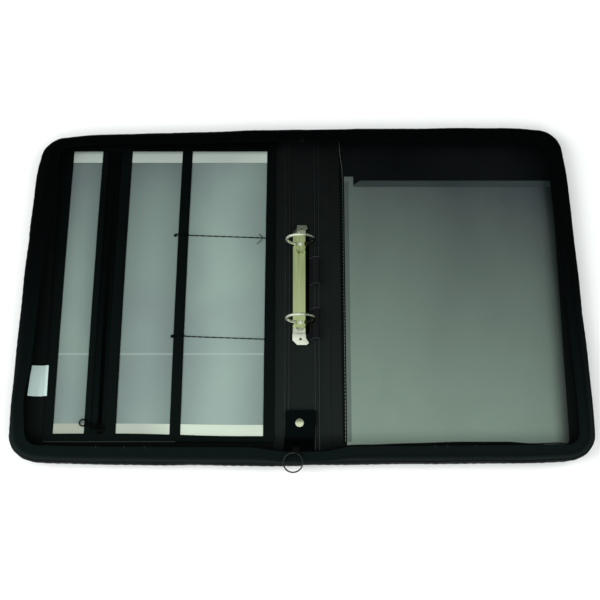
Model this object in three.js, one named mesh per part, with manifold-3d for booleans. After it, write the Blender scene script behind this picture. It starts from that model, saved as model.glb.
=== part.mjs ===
// Zip-round ring folder for A4 sheets, lying open with its inside up.
// Millimetres. +X runs to the right cover, +Y to the head, +Z up out of the inside.
import * as THREE from "three";
import { mergeVertices } from "three/addons/utils/BufferGeometryUtils.js";
import Module from "manifold-3d";

const wasm = await Module();
wasm.setup();

// Covers and spine
const coverLength = 335.5;
const coverReach = 260;
const foldReach = 22;
const coverCornerRadius = 22;
const skinThickness = 1.2;
const boardThickness = 2;
const liningThickness = 0.8;
const edgeTurn = 2.5;
const spinePanelReach = 16.5;
const seamStripReach = 16.3;
const seamStripWidth = 4;
const seamStripHeight = 0.8;
const seatGap = 0.3;
const foldClearance = 0.6;

// Half gusset that stands round each cover and carries the zip
const gussetThickness = 1.2;
const gussetRise = 13.5;
const headLean = 15.5;
const tailLean = 14;
const foreLeanAtHead = 18;
const foreLeanAtTail = 5;
const endBulge = 1;
const foreBulgeAtTail = 12;
const bellowsReach = 44;
const zipTapeWidth = 6;
const zipTapeThickness = 0.6;
const zipCoilWidth = 2.2;
const zipCoilHeight = 1.8;
const zipTapeClimb = 1.2;
const endStopWidth = 4.4;
const endStopLength = 4;
const endStopHeight = 1.4;
const endStopInset = 1;

// Ring mechanism
const mechanismX = -1.5;
const mechanismY = 7.95;
const ringSpacing = 80;
const ringRadius = 13.3;
const ringWireRadius = 1.35;
const ringCentreHeight = 20.5;
const ringFootReach = 5.2;
const ringTipGap = 0.2;
const housingWidth = 16.4;
const housingLength = 102;
const housingRise = 4;
const housingWall = 0.9;
const slotSideClearance = 0.7;
const slotInnerClearance = 0.5;
const slotOuterClearance = 1.1;
const leafThickness = 0.9;
const leafEdgeClearance = 1.1;
const leafRise = 1.4;
const leafEndInset = 2;
const leafInnerClearance = 0.6;
const rivetRadius = 1.6;
const rivetHeadRadius = 2.6;
const rivetHeadHeight = 0.8;
const rivetClearance = 0.2;
const rivetSeat = 0.1;
const headLeverReach = 8.5;
const tailLeverReach = 11.3;
const headLeverWidth = 9.6;
const tailLeverWidth = 16.2;
const leverThickness = 1.2;
const leverRise = 0.4;
const headLeverChamfer = 1.4;
const tailLeverChamfer = 4;
const leverHeelLength = 1.4;
const leverHeelClearance = 0.6;
const leverEyeRadius = 0.9;

// Pen loops beside the mechanism
const penLoopX = 13.4;
const penLoopWidth = 7.2;
const penLoopHeight = 5.5;
const penLoopWall = 0.6;
const penLoopCornerRadius = 2;
const headPenLoop = { centre: 20.25, length: 27.6 };
const tailPenLoop = { centre: -33.45, length: 31 };

// Press-stud tab at the tail of the spine
const tabX = -1.5;
const tabInset = 17;
const tabLength = 33.3;
const tabTopWidth = 29;
const tabRootWidth = 26.5;
const tabThickness = 0.8;
const tabRise = 3;
const tabBendLength = 5;
const tabTipTaper = 3;
const studX = -2.3;
const studDistance = 20.4;
const studCapRadius = 4.8;
const studPostRadius = 1.9;
const studFlangeHeight = 0.6;
const studCapRim = 0.5;
const studCapDome = 0.8;
const socketHeight = 1.6;
const socketClearance = 0.9;
const postHeadClearance = 0.4;

// Slider of the outer zip and its split ring
const sliderX = -5.7;
const sliderInset = 9.5;
const sliderWidth = 7.2;
const sliderLength = 12;
const sliderHeight = 2.6;
const sliderNeckWidth = 4.5;
const bailInset = 0.4;
const bailOffset = 3.55;
const bailHeight = 3.5;
const bailThickness = 0.8;
const bailWidth = 2;
const splitRingRadius = 9;
const splitRingWireRadius = 0.7;
const splitRingLift = 0.7;
const splitRingDroop = THREE.MathUtils.degToRad(20);
const splitRingTurn = THREE.MathUtils.degToRad(-17.5);

// Card and document panel on the left cover
const panelForeInset = 18;
const panelFoldInset = 4;
const panelHeadInset = 10.5;
const panelTailInset = 20;
const panelBackThickness = 0.5;
const sheetThickness = 0.4;
const bindingThickness = 1.1;
const bindingLap = 2;
const headBindingWidth = 9;
const tailBindingWidth = 7.5;
const outerBindingWidth = 10.2;
const narrowWindowWidth = 29.5;
const zipOuterBindingWidth = 6.3;
const innerZipWidth = 13.4;
const zipInnerBindingWidth = 10.4;
const middleWindowWidth = 51.1;
const dividerWidth = 10;
const innerBindingWidth = 9;
const threadRadius = 0.45;
const threadSlope = 2.2;
const headThreadInset = 92.5;
const tailThreadInset = 92.7;
const labelWidth = 15.5;
const labelLength = 30;
const labelThickness = 0.3;
const labelTuck = 5.6;
const labelInset = 58.5;

// Inner zip: chain, slider and pull
const chainWidth = 3.6;
const chainHeight = 1.4;
const tapeSplit = 0.6;
const innerSliderInset = 5;
const innerSliderWidth = 6;
const innerSliderLength = 7.6;
const innerSliderHeight = 2.2;
const innerBailHeight = 3.2;
const innerBailThickness = 0.8;
const innerBailWidth = 1.8;
const pullLength = 20.2;
const pullRingRadius = 3.5;
const pullThickness = 0.8;
const pullBarWidth = 6;
const pullEyeWidth = 4;
const pullEyeLength = 3.6;
const pullLift = 0.9;
const pullEyeInset = 0.45;
const pullRingWidth = 1.1;
const innerNeckWidth = 3.6;
const innerBailInset = 0.2;
const pullDroop = THREE.MathUtils.degToRad(10.5);
const pullTurn = THREE.MathUtils.degToRad(-19);

// Clear document pocket on the right cover
const pocketFoldInset = 20;
const pocketForeInset = 11;
const pocketTailInset = 19;
const pocketHeadInset = 51.2;
const pocketEarRise = 4.4;
const pocketEarWidth = 9;
const pocketNotchWidth = 7;
const pocketNotchDepth = 5;
const pocketCornerRadius = 6;
const pocketSeamWidth = 3.6;
const pocketSeamHeight = 0.6;
const pocketSeamClearance = 0.4;

// Heights and edges that follow from the sizes above
const halfLength = coverLength / 2;
const boardTop = skinThickness + boardThickness;
const liningTop = boardTop + liningThickness;
const coverStart = foldReach + foldClearance;
const gussetFoot = liningTop + seatGap;
const gussetTop = gussetFoot + gussetRise;
const bellowsTop = gussetTop + zipTapeClimb / 2 + gussetThickness / 2;
const housingTop = liningTop + housingRise;
const leafHeight = liningTop + leafRise;
const tabHeight = liningTop + tabRise;
const panelBackTop = liningTop + panelBackThickness;
const sheetTop = panelBackTop + sheetThickness;
const bindingTop = sheetTop + bindingThickness;
const panelOuterX = panelForeInset - coverReach;
const panelInnerX = -foldReach - panelFoldInset;
const panelHeadY = halfLength - panelHeadInset;
const panelTailY = panelTailInset - halfLength;
const windowHeadY = panelHeadY - headBindingWidth;
const windowTailY = panelTailY + tailBindingWidth;
const labelX = panelOuterX - labelTuck;
const labelY = panelTailY + labelInset;
const innerSliderY = windowTailY + innerSliderInset;
const pocketLeftX = foldReach + pocketFoldInset;
const pocketRightX = coverReach - pocketForeInset;
const pocketTailY = pocketTailInset - halfLength;
const pocketHeadY = halfLength - pocketHeadInset;
const pocketEarY = pocketHeadY + pocketEarRise;
const tabRootY = tabInset - halfLength;
const tabTopY = tabRootY + tabLength;
const studY = tabRootY + studDistance;
const sliderY = sliderInset - halfLength;

// Finishes
const blackVinyl = [0x101211, 0.55, 0];
const blackLining = [0x0d0f0e, 0.6, 0];
const greyBoard = [0x8c857a, 0.9, 0];
const wovenTape = [0x0b0b0c, 0.85, 0];
const nylonCoil = [0x141416, 0.5, 0];
const clearVinyl = [0x8b9a94, 0.2, 0];
const paleCard = [0xc4ccc6, 0.7, 0];
const nickel = [0xc9c6a8, 0.25, 1];
const blackMetal = [0x1c1c1e, 0.35, 0.9];
const whiteLabel = [0xe4e8e4, 0.8, 0];
const blackThread = [0x0a0a0a, 0.9, 0];

const folder = new THREE.Group();
const spine = new THREE.Group();
const leftCover = new THREE.Group();
const rightCover = new THREE.Group();
folder.add(spine, leftCover, rightCover);

function addPiece(group, name, geometry, [color, roughness, metalness]) {
  const piece = new THREE.Mesh(
    geometry,
    new THREE.MeshStandardMaterial({ color, roughness, metalness }),
  );
  piece.name = name;
  group.add(piece);
  return piece;
}

function manifoldOf(geometry) {
  const bare = geometry.index ? geometry.toNonIndexed() : geometry.clone();
  bare.deleteAttribute("normal");
  bare.deleteAttribute("uv");
  const merged = mergeVertices(bare, 1e-4);
  return new wasm.Manifold(
    new wasm.Mesh({
      numProp: 3,
      vertProperties: merged.attributes.position.array,
      triVerts: new Uint32Array(merged.index.array),
    }),
  );
}

function geometryOf(solid) {
  const { vertProperties, triVerts } = solid.getMesh();
  return new THREE.BufferGeometry()
    .setAttribute("position", new THREE.BufferAttribute(vertProperties, 3))
    .setIndex(new THREE.BufferAttribute(triVerts, 1));
}

function cut(geometry, ...tools) {
  const left = tools.reduce((solid, tool) => solid.subtract(manifoldOf(tool)), manifoldOf(geometry));
  return geometryOf(left);
}

function join(geometry, ...others) {
  const whole = others.reduce((solid, other) => solid.add(manifoldOf(other)), manifoldOf(geometry));
  return geometryOf(whole);
}

// A box from its lowest to its highest corner.
function block([x0, y0, z0], [x1, y1, z1]) {
  return new THREE.BoxGeometry(x1 - x0, y1 - y0, z1 - z0).translate(
    (x0 + x1) / 2,
    (y0 + y1) / 2,
    (z0 + z1) / 2,
  );
}

function slab(points, low, high) {
  const shape = new THREE.Shape(points.map(([x, y]) => new THREE.Vector2(x, y)));
  return new THREE.ExtrudeGeometry(shape, { depth: high - low, bevelEnabled: false }).translate(0, 0, low);
}

function arcPoints(centreX, centreY, radius, from, to, steps) {
  return Array.from({ length: steps + 1 }, (_, i) => {
    const angle = from + ((to - from) * i) / steps;
    return [centreX + radius * Math.cos(angle), centreY + radius * Math.sin(angle)];
  });
}

// A tube of round section along a curve, its section turned to a flat-sided polygon.
function tube(curve, radius, sides, steps) {
  const section = new THREE.Shape(
    arcPoints(0, 0, radius, 0, 2 * Math.PI, sides)
      .slice(0, sides)
      .map(([x, y]) => new THREE.Vector2(x, y)),
  );
  return new THREE.ExtrudeGeometry(section, { steps, extrudePath: curve, bevelEnabled: false });
}

// A closed band through stations along an edge. Each station has a place, an outward direction and a
// section of [outward, height] points.
function band(stations) {
  const count = stations[0].section.length;
  const positions = stations.flatMap(({ place, outward, section }) =>
    section.flatMap(([out, height]) => [place[0] + outward[0] * out, place[1] + outward[1] * out, height]),
  );
  const faces = [];
  for (let i = 0; i + 1 < stations.length; i += 1) {
    for (let k = 0; k < count; k += 1) {
      const a = i * count + k;
      const b = i * count + ((k + 1) % count);
      faces.push(a, b, b + count, a, b + count, a + count);
    }
  }
  const lastStart = (stations.length - 1) * count;
  const endFaces = ({ section }) =>
    THREE.ShapeUtils.triangulateShape(
      section.map(([out, height]) => new THREE.Vector2(out, height)),
      [],
    );
  const turned = THREE.ShapeUtils.area(
    stations[0].section.map(([out, height]) => new THREE.Vector2(out, height)),
  ) < 0;
  const startFaces = endFaces(stations[0]);
  const closeFaces = endFaces(stations.at(-1));
  const wound = ([a, b, c], flip) => (flip ? [a, c, b] : [a, b, c]);
  startFaces.forEach((face) => faces.push(...wound(face, !turned)));
  closeFaces.forEach((face) => faces.push(...wound(face, turned).map((k) => k + lastStart)));
  return facingOut(
    new THREE.BufferGeometry()
      .setAttribute("position", new THREE.Float32BufferAttribute(positions, 3))
      .setIndex(faces),
  );
}

// Turns every face round when the surface encloses a negative volume.
function facingOut(geometry) {
  const position = geometry.attributes.position;
  const index = geometry.index.array;
  const [a, b, c] = [new THREE.Vector3(), new THREE.Vector3(), new THREE.Vector3()];
  let volume = 0;
  for (let i = 0; i < index.length; i += 3) {
    a.fromBufferAttribute(position, index[i]);
    b.fromBufferAttribute(position, index[i + 1]);
    c.fromBufferAttribute(position, index[i + 2]);
    volume += a.dot(b.cross(c));
  }
  if (volume < 0) {
    for (let i = 0; i < index.length; i += 3) {
      [index[i + 1], index[i + 2]] = [index[i + 2], index[i + 1]];
    }
  }
  return geometry;
}

// The section of a strip of even thickness along an open line of [outward, height] points.
function stripSection(line, thickness) {
  const sides = line.map((point, i) => {
    const before = line[Math.max(i - 1, 0)];
    const after = line[Math.min(i + 1, line.length - 1)];
    const along = new THREE.Vector2(after[0] - before[0], after[1] - before[1]).normalize();
    const shift = [(-along.y * thickness) / 2, (along.x * thickness) / 2];
    return [
      [point[0] + shift[0], point[1] + shift[1]],
      [point[0] - shift[0], point[1] - shift[1]],
    ];
  });
  return [...sides.map(([front]) => front), ...sides.map(([, back]) => back).reverse()];
}

// Covers: outer skin turned up round a board, with a lining over both
function coverOutline(side, start, reach, half, radius) {
  const corner = 8;
  return [
    [start, -half],
    ...arcPoints(reach - radius, -half + radius, radius, -Math.PI / 2, 0, corner),
    ...arcPoints(reach - radius, half - radius, radius, 0, Math.PI / 2, corner),
    [start, half],
  ].map(([x, y]) => [side * x, y]);
}

function coverPieces(group, side, prefix) {
  const outline = coverOutline(side, coverStart, coverReach, halfLength, coverCornerRadius);
  const boardOutline = (gap) =>
    coverOutline(
      side,
      coverStart + edgeTurn + gap,
      coverReach - edgeTurn - gap,
      halfLength - edgeTurn - gap,
      coverCornerRadius - edgeTurn - gap,
    );
  addPiece(
    group,
    `${prefix}_outer_skin`,
    cut(slab(outline, 0, boardTop), slab(boardOutline(0), skinThickness, boardTop + skinThickness)),
    blackVinyl,
  );
  addPiece(group, `${prefix}_board`, slab(boardOutline(seatGap), skinThickness, boardTop), greyBoard);
  addPiece(group, `${prefix}_lining`, slab(outline, boardTop, liningTop), blackLining);
}

// Half gusset, zip tape and coil, all following the cover's edge
const fullZipWidth = zipTapeWidth + zipCoilWidth + 2 * seatGap;

function wallLine(lean, bulge) {
  const cloth = lean - fullZipWidth;
  return [
    [-gussetThickness, gussetFoot + gussetThickness / 2],
    [0.6 * bulge, gussetFoot + 0.2 * gussetRise],
    [bulge, gussetFoot + 0.42 * gussetRise],
    [bulge - 0.45 * (cloth + bulge), gussetFoot + 0.78 * gussetRise],
    [-cloth, gussetTop],
  ];
}

const gussetSection = (lean, bulge) => stripSection(wallLine(lean, bulge), gussetThickness);

function tapeSection(lean) {
  const outer = -(lean - fullZipWidth) - gussetThickness / 4 - seatGap;
  return stripSection(
    [
      [outer, gussetTop],
      [outer - zipTapeWidth + gussetThickness / 4, gussetTop + zipTapeClimb],
    ],
    zipTapeThickness,
  );
}

function coilSection(lean) {
  const height = gussetTop + zipTapeClimb;
  return [
    [-lean + zipCoilWidth / 2, height - zipCoilHeight / 2],
    [-lean + zipCoilWidth, height - zipCoilHeight / 4],
    [-lean + zipCoilWidth, height + zipCoilHeight / 4],
    [-lean + zipCoilWidth / 2, height + zipCoilHeight / 2],
    [-lean, height + zipCoilHeight / 4],
    [-lean, height - zipCoilHeight / 4],
  ];
}

function coverEdgeStations(side, sectionAt) {
  const cornerX = coverReach - coverCornerRadius;
  const cornerY = halfLength - coverCornerRadius;
  const cornerSteps = 7;
  const foreSteps = 8;
  const stations = [];
  const add = (x, y, angle, lean, bulge) =>
    stations.push({
      place: [side * x, y],
      outward: [side * Math.cos(angle), Math.sin(angle)],
      section: sectionAt(lean, bulge),
    });
  add(bellowsReach + seatGap, halfLength, Math.PI / 2, headLean, endBulge);
  for (let i = 0; i <= cornerSteps; i += 1) {
    const share = i / cornerSteps;
    const angle = (Math.PI / 2) * (1 - share);
    add(
      cornerX + coverCornerRadius * Math.cos(angle),
      cornerY + coverCornerRadius * Math.sin(angle),
      angle,
      THREE.MathUtils.lerp(headLean, foreLeanAtHead, share),
      endBulge,
    );
  }
  for (let i = 1; i < foreSteps; i += 1) {
    const share = i / foreSteps;
    add(
      coverReach,
      cornerY * (1 - 2 * share),
      0,
      THREE.MathUtils.lerp(foreLeanAtHead, foreLeanAtTail, share),
      THREE.MathUtils.lerp(endBulge, foreBulgeAtTail, share),
    );
  }
  for (let i = 0; i <= cornerSteps; i += 1) {
    const share = i / cornerSteps;
    const angle = (-Math.PI / 2) * share;
    add(
      cornerX + coverCornerRadius * Math.cos(angle),
      -cornerY + coverCornerRadius * Math.sin(angle),
      angle,
      THREE.MathUtils.lerp(foreLeanAtTail, tailLean, share),
      THREE.MathUtils.lerp(foreBulgeAtTail, endBulge, share),
    );
  }
  add(bellowsReach + seatGap, -halfLength, -Math.PI / 2, tailLean, endBulge);
  return stations;
}

function gussetPieces(group, side, prefix) {
  addPiece(group, `${prefix}_gusset`, band(coverEdgeStations(side, gussetSection)), blackVinyl);
  addPiece(group, `${prefix}_zip_tape`, band(coverEdgeStations(side, tapeSection)), wovenTape);
  addPiece(group, `${prefix}_zip_coil`, band(coverEdgeStations(side, coilSection)), nylonCoil);
}

// The soft stretch of gusset that crosses both folds and joins the two covers over the spine
function bellows(end) {
  const lean = end > 0 ? headLean : tailLean;
  const line = [...wallLine(lean, endBulge).slice(0, -1), [-lean, gussetTop + zipTapeClimb / 2]];
  return band(
    [-bellowsReach, -foldReach, 0, foldReach, bellowsReach].map((x) => ({
      place: [x, end * halfLength],
      outward: [0, end],
      section: stripSection(line, gussetThickness),
    })),
  );
}

// A block that is centred on the spine
const spineBlock = (reach, half, low, high) => block([-reach, -half, low], [reach, half, high]);

// Spine panel with its seam strips; the outer skin runs on thin past the board to each fold
function spinePieces() {
  const boardInset = edgeTurn + seatGap;
  addPiece(
    spine,
    "spine_outer_skin",
    cut(
      join(
        spineBlock(spinePanelReach, halfLength, 0, boardTop),
        spineBlock(coverStart - seatGap, halfLength, 0, skinThickness),
      ),
      spineBlock(
        spinePanelReach - edgeTurn,
        halfLength - edgeTurn,
        skinThickness,
        boardTop + skinThickness,
      ),
    ),
    blackVinyl,
  );
  addPiece(
    spine,
    "spine_board",
    spineBlock(spinePanelReach - boardInset, halfLength - boardInset, skinThickness, boardTop),
    greyBoard,
  );
  addPiece(
    spine,
    "spine_lining",
    spineBlock(spinePanelReach, halfLength, boardTop, liningTop),
    blackLining,
  );
  for (const [side, prefix] of [[-1, "left"], [1, "right"]]) {
    const inner = side * (seamStripReach - seamStripWidth);
    const outer = side * seamStripReach;
    addPiece(
      spine,
      `${prefix}_spine_seam_strip`,
      block(
        [Math.min(inner, outer), -halfLength + edgeTurn, liningTop],
        [Math.max(inner, outer), halfLength - edgeTurn, liningTop + seamStripHeight],
      ),
      blackVinyl,
    );
  }
  addPiece(spine, "head_bellows", bellows(1), blackVinyl);
  addPiece(spine, "tail_bellows", bellows(-1), blackVinyl);
  const stopFoot = bellowsTop + seatGap;
  const stopY = halfLength - headLean;
  addPiece(
    spine,
    "zip_end_stop",
    block(
      [-endStopWidth / 2, stopY - endStopInset, stopFoot],
      [endStopWidth / 2, stopY - endStopInset + endStopLength, stopFoot + endStopHeight],
    ),
    blackMetal,
  );
}

// Ring mechanism: arched housing, two leaves that carry the ring halves, two rivets and two levers
const ringYs = [
  ["tail", mechanismY - ringSpacing / 2],
  ["head", mechanismY + ringSpacing / 2],
];

function housing() {
  const half = housingWidth / 2;
  const foot = liningTop + seatGap;
  const arch = (reach, top) => [
    [-reach, foot],
    [-reach, foot + 0.45 * (top - foot)],
    [-0.86 * reach, foot + 0.82 * (top - foot)],
    [-0.68 * reach, top],
    [0.68 * reach, top],
    [0.86 * reach, foot + 0.82 * (top - foot)],
    [reach, foot + 0.45 * (top - foot)],
    [reach, foot],
  ];
  const outer = arch(half, housingTop);
  const inner = arch(half - housingWall, housingTop - housingWall).reverse();
  const shell = band(
    [-1, 1].map((end) => ({
      place: [mechanismX, mechanismY + (end * housingLength) / 2],
      outward: [1, 0],
      section: [...outer, ...inner],
    })),
  );
  const slotHalf = ringWireRadius + slotSideClearance;
  const slots = ringYs.flatMap(([, y]) =>
    [-1, 1].map((side) => {
      const near = mechanismX + side * (ringFootReach - ringWireRadius - slotInnerClearance);
      const far = mechanismX + side * (ringFootReach + ringWireRadius + slotOuterClearance);
      return block(
        [Math.min(near, far), y - slotHalf, liningTop],
        [Math.max(near, far), y + slotHalf, housingTop + 1],
      );
    }),
  );
  const rivetHoles = ringYs.map(([, y]) => rivetRod(y, rivetRadius + rivetClearance, foot - 1, housingTop + 1));
  return cut(shell, ...slots, ...rivetHoles);
}

function rivetRod(y, radius, low, high) {
  return new THREE.CylinderGeometry(radius, radius, high - low, 12)
    .rotateX(Math.PI / 2)
    .translate(mechanismX, y, (low + high) / 2);
}

function rivet(y) {
  const headFoot = housingTop + rivetSeat;
  const profile = [
    [0, liningTop],
    [rivetRadius, liningTop],
    [rivetRadius, headFoot],
    [rivetHeadRadius, headFoot],
    [rivetHeadRadius * 0.8, headFoot + 0.75 * rivetHeadHeight],
    [0, headFoot + rivetHeadHeight],
  ].map(([r, z]) => new THREE.Vector2(r, z));
  return new THREE.LatheGeometry(profile, 12).rotateX(Math.PI / 2).translate(mechanismX, y, 0);
}

// One half of a ring: from the meeting point at the top, round the side, and down through the housing.
function ringHalf(side, y) {
  const meeting = ringTipGap / ringRadius;
  const footAngle = Math.PI - Math.asin(ringFootReach / ringRadius) - 0.06;
  const arc = arcPoints(0, 0, ringRadius, meeting, footAngle, 12).map(
    ([height, out]) => new THREE.Vector3(mechanismX + side * out, y, ringCentreHeight + height),
  );
  const footX = mechanismX + side * ringFootReach;
  const footEnd = leafHeight + leafThickness + seatGap;
  arc.push(new THREE.Vector3(footX - side * 0.1, y, footEnd + 0.9));
  arc.push(new THREE.Vector3(footX - side * 0.2, y, footEnd));
  return tube(new THREE.CatmullRomCurve3(arc), ringWireRadius, 8, 26);
}

function leaf(side) {
  const inner = mechanismX + side * (rivetRadius + leafInnerClearance);
  const outer = mechanismX + side * (housingWidth / 2 - housingWall - leafEdgeClearance);
  const half = housingLength / 2 - leafEndInset;
  return block(
    [Math.min(inner, outer), mechanismY - half, leafHeight],
    [Math.max(inner, outer), mechanismY + half, leafHeight + leafThickness],
  );
}

function lever(end, width, chamfer, reach) {
  const root = mechanismY + (end * housingLength) / 2 + end * seatGap;
  const tip = root + end * reach;
  const half = width / 2;
  const outline = [
    [mechanismX - half, root],
    [mechanismX - half, tip - end * chamfer],
    [mechanismX - half + chamfer, tip],
    [mechanismX + half - chamfer, tip],
    [mechanismX + half, tip - end * chamfer],
    [mechanismX + half, root],
  ];
  const top = housingTop + leverRise;
  const heelFoot = liningTop + leverHeelClearance;
  const plate = slab(outline, top - leverThickness, top);
  const heel = block(
    [mechanismX - 0.3 * width, Math.min(root, root + end * leverHeelLength), heelFoot],
    [mechanismX + 0.3 * width, Math.max(root, root + end * leverHeelLength), top - leverThickness / 2],
  );
  const eyeY = root + end * reach * 0.5;
  const eye = new THREE.CylinderGeometry(leverEyeRadius, leverEyeRadius, 2 * leverThickness, 10)
    .rotateX(Math.PI / 2)
    .translate(mechanismX, eyeY, top - leverThickness / 2);
  return cut(join(plate, heel), eye);
}

function mechanismPieces() {
  addPiece(spine, "ring_housing", housing(), nickel);
  for (const [end, y] of ringYs) {
    addPiece(spine, `${end}_rivet`, rivet(y), nickel);
    addPiece(spine, `${end}_ring_left_half`, ringHalf(-1, y), nickel);
    addPiece(spine, `${end}_ring_right_half`, ringHalf(1, y), nickel);
  }
  addPiece(spine, "left_leaf", leaf(-1), nickel);
  addPiece(spine, "right_leaf", leaf(1), nickel);
  addPiece(spine, "head_lever", lever(1, headLeverWidth, headLeverChamfer, headLeverReach), nickel);
  addPiece(spine, "tail_lever", lever(-1, tailLeverWidth, tailLeverChamfer, tailLeverReach), nickel);
}

// An elastic loop that stands on the seam strip beside the housing, open along Y.
function penLoop({ centre, length }) {
  const foot = liningTop + seamStripHeight + seatGap;
  const outline = (shrink) => {
    const half = penLoopWidth / 2 - shrink;
    const low = foot + shrink;
    const high = foot + penLoopHeight - shrink;
    const radius = penLoopCornerRadius - shrink;
    return [
      [-half, low],
      [half, low],
      ...arcPoints(half - radius, high - radius, radius, 0, Math.PI / 2, 4),
      ...arcPoints(-half + radius, high - radius, radius, Math.PI / 2, Math.PI, 4),
    ];
  };
  const between = (points, half) =>
    band(
      [-1, 1].map((end) => ({
        place: [penLoopX, centre + end * half],
        outward: [1, 0],
        section: points,
      })),
    );
  return cut(between(outline(0), length / 2), between(outline(penLoopWall), length / 2 + 1));
}

// Strap that is sewn down at the tail and lies over the stud's post
function studTab() {
  const stops = [
    [tabRootY, gussetFoot + seamStripHeight, tabRootWidth],
    [tabRootY + tabBendLength, tabHeight, tabRootWidth],
    [tabTopY - tabBendLength, tabHeight, tabTopWidth],
    [tabTopY, tabHeight, tabTopWidth - tabTipTaper],
  ];
  return band(
    stops.map(([y, foot, width]) => ({
      place: [tabX, y],
      outward: [1, 0],
      section: [
        [-width / 2, foot],
        [width / 2, foot],
        [width / 2, foot + tabThickness],
        [-width / 2, foot + tabThickness],
      ],
    })),
  );
}

function turned(profile, sides, x, y) {
  const points = profile.map(([r, z]) => new THREE.Vector2(r, z));
  return new THREE.LatheGeometry(points, sides).rotateX(Math.PI / 2).translate(x, y, 0);
}

function studPieces() {
  const tabTop = tabHeight + tabThickness;
  const socketTop = tabHeight - seatGap;
  const socketFoot = socketTop - socketHeight;
  const postTop = socketTop - postHeadClearance;
  const boreRadius = studPostRadius + socketClearance;
  const capFoot = tabTop + seatGap;
  const flangeTop = liningTop + studFlangeHeight;
  addPiece(spine, "stud_tab", studTab(), blackVinyl);
  addPiece(
    spine,
    "stud_cap",
    turned(
      [
        [0, capFoot],
        [studCapRadius, capFoot],
        [studCapRadius, capFoot + studCapRim],
        [0.72 * studCapRadius, capFoot + studCapRim + 0.75 * studCapDome],
        [0, capFoot + studCapRim + studCapDome],
      ],
      24,
      studX,
      studY,
    ),
    nickel,
  );
  addPiece(
    spine,
    "stud_socket",
    turned(
      [
        [boreRadius, socketFoot],
        [studCapRadius, socketFoot],
        [studCapRadius, socketTop],
        [boreRadius, socketTop],
        [boreRadius, socketFoot],
      ],
      16,
      studX,
      studY,
    ),
    nickel,
  );
  addPiece(
    spine,
    "stud_post",
    turned(
      [
        [0, liningTop],
        [studCapRadius, liningTop],
        [studCapRadius, flangeTop],
        [studPostRadius * 0.8, flangeTop + 0.3 * studFlangeHeight],
        [studPostRadius, postTop - studFlangeHeight],
        [0, postTop],
      ],
      16,
      studX,
      studY,
    ),
    nickel,
  );
}

// Outer slider, parked where the two halves of the zip meet, with a split ring through its bail
const sliderFoot = bellowsTop + seatGap;
const sliderTop = sliderFoot + sliderHeight;
const splitRingPivot = [
  sliderX,
  sliderY - bailOffset,
  sliderTop + splitRingWireRadius + splitRingLift,
];

function outerSliderPieces() {
  const half = sliderLength / 2;
  const body = slab(
    [
      [sliderX - sliderNeckWidth / 2, sliderY - half],
      [sliderX + sliderNeckWidth / 2, sliderY - half],
      [sliderX + sliderWidth / 2, sliderY],
      [sliderX + sliderWidth / 2, sliderY + half],
      [sliderX - sliderWidth / 2, sliderY + half],
      [sliderX - sliderWidth / 2, sliderY],
    ],
    sliderFoot,
    sliderTop,
  );
  const bailHalf = half - bailInset;
  const bailOuter = block(
    [sliderX - bailWidth / 2, sliderY - bailHalf, sliderTop - 0.5],
    [sliderX + bailWidth / 2, sliderY + bailHalf, sliderTop + bailHeight],
  );
  const bailBore = block(
    [sliderX - bailWidth, sliderY - bailHalf + bailThickness, sliderTop],
    [sliderX + bailWidth, sliderY + bailHalf - bailThickness, sliderTop + bailHeight - bailThickness],
  );
  addPiece(spine, "outer_zip_slider", join(body, cut(bailOuter, bailBore)), blackMetal);
  const ring = new THREE.TorusGeometry(splitRingRadius, splitRingWireRadius, 8, 32);
  ring.translate(0, -splitRingRadius, 0).rotateZ(splitRingTurn).rotateX(splitRingDroop);
  ring.translate(...splitRingPivot);
  addPiece(spine, "split_ring_puller", ring, blackMetal);
}

// Left panel: backing, three clear windows under sewn bindings, an inner zip and two thread dividers
const narrowStart = panelOuterX + outerBindingWidth;
const narrowEnd = narrowStart + narrowWindowWidth;
const zipStart = narrowEnd + zipOuterBindingWidth;
const zipEnd = zipStart + innerZipWidth;
const middleStart = zipEnd + zipInnerBindingWidth;
const middleEnd = middleStart + middleWindowWidth;
const wideStart = middleEnd + dividerWidth;
const wideEnd = panelInnerX - innerBindingWidth;
const chainX = (zipStart + zipEnd) / 2;

function binding(name, x0, x1, y0 = windowTailY, y1 = windowHeadY) {
  addPiece(leftCover, name, block([x0, y0, sheetTop], [x1, y1, bindingTop]), blackVinyl);
}

function windowSheet(name, x0, x1) {
  addPiece(
    leftCover,
    name,
    block(
      [x0 - bindingLap, windowTailY - bindingLap, panelBackTop],
      [x1 + bindingLap, windowHeadY + bindingLap, sheetTop],
    ),
    clearVinyl,
  );
}

function threadDivider(name, y) {
  const height = sheetTop + threadRadius + 2 * seatGap;
  const overBinding = bindingTop + threadRadius + seatGap;
  const route = [
    [middleEnd + 1, y + threadSlope, overBinding],
    [wideStart - 1, y + threadSlope * 0.9, overBinding],
    [wideStart + 3, y + threadSlope * 0.8, height],
    [(wideStart + wideEnd) / 2, y, height],
    [wideEnd - 2, y - threadSlope * 0.4, height],
  ].map((point) => new THREE.Vector3(...point));
  addPiece(leftCover, name, tube(new THREE.CatmullRomCurve3(route), threadRadius, 6, 20), blackThread);
}

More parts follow.
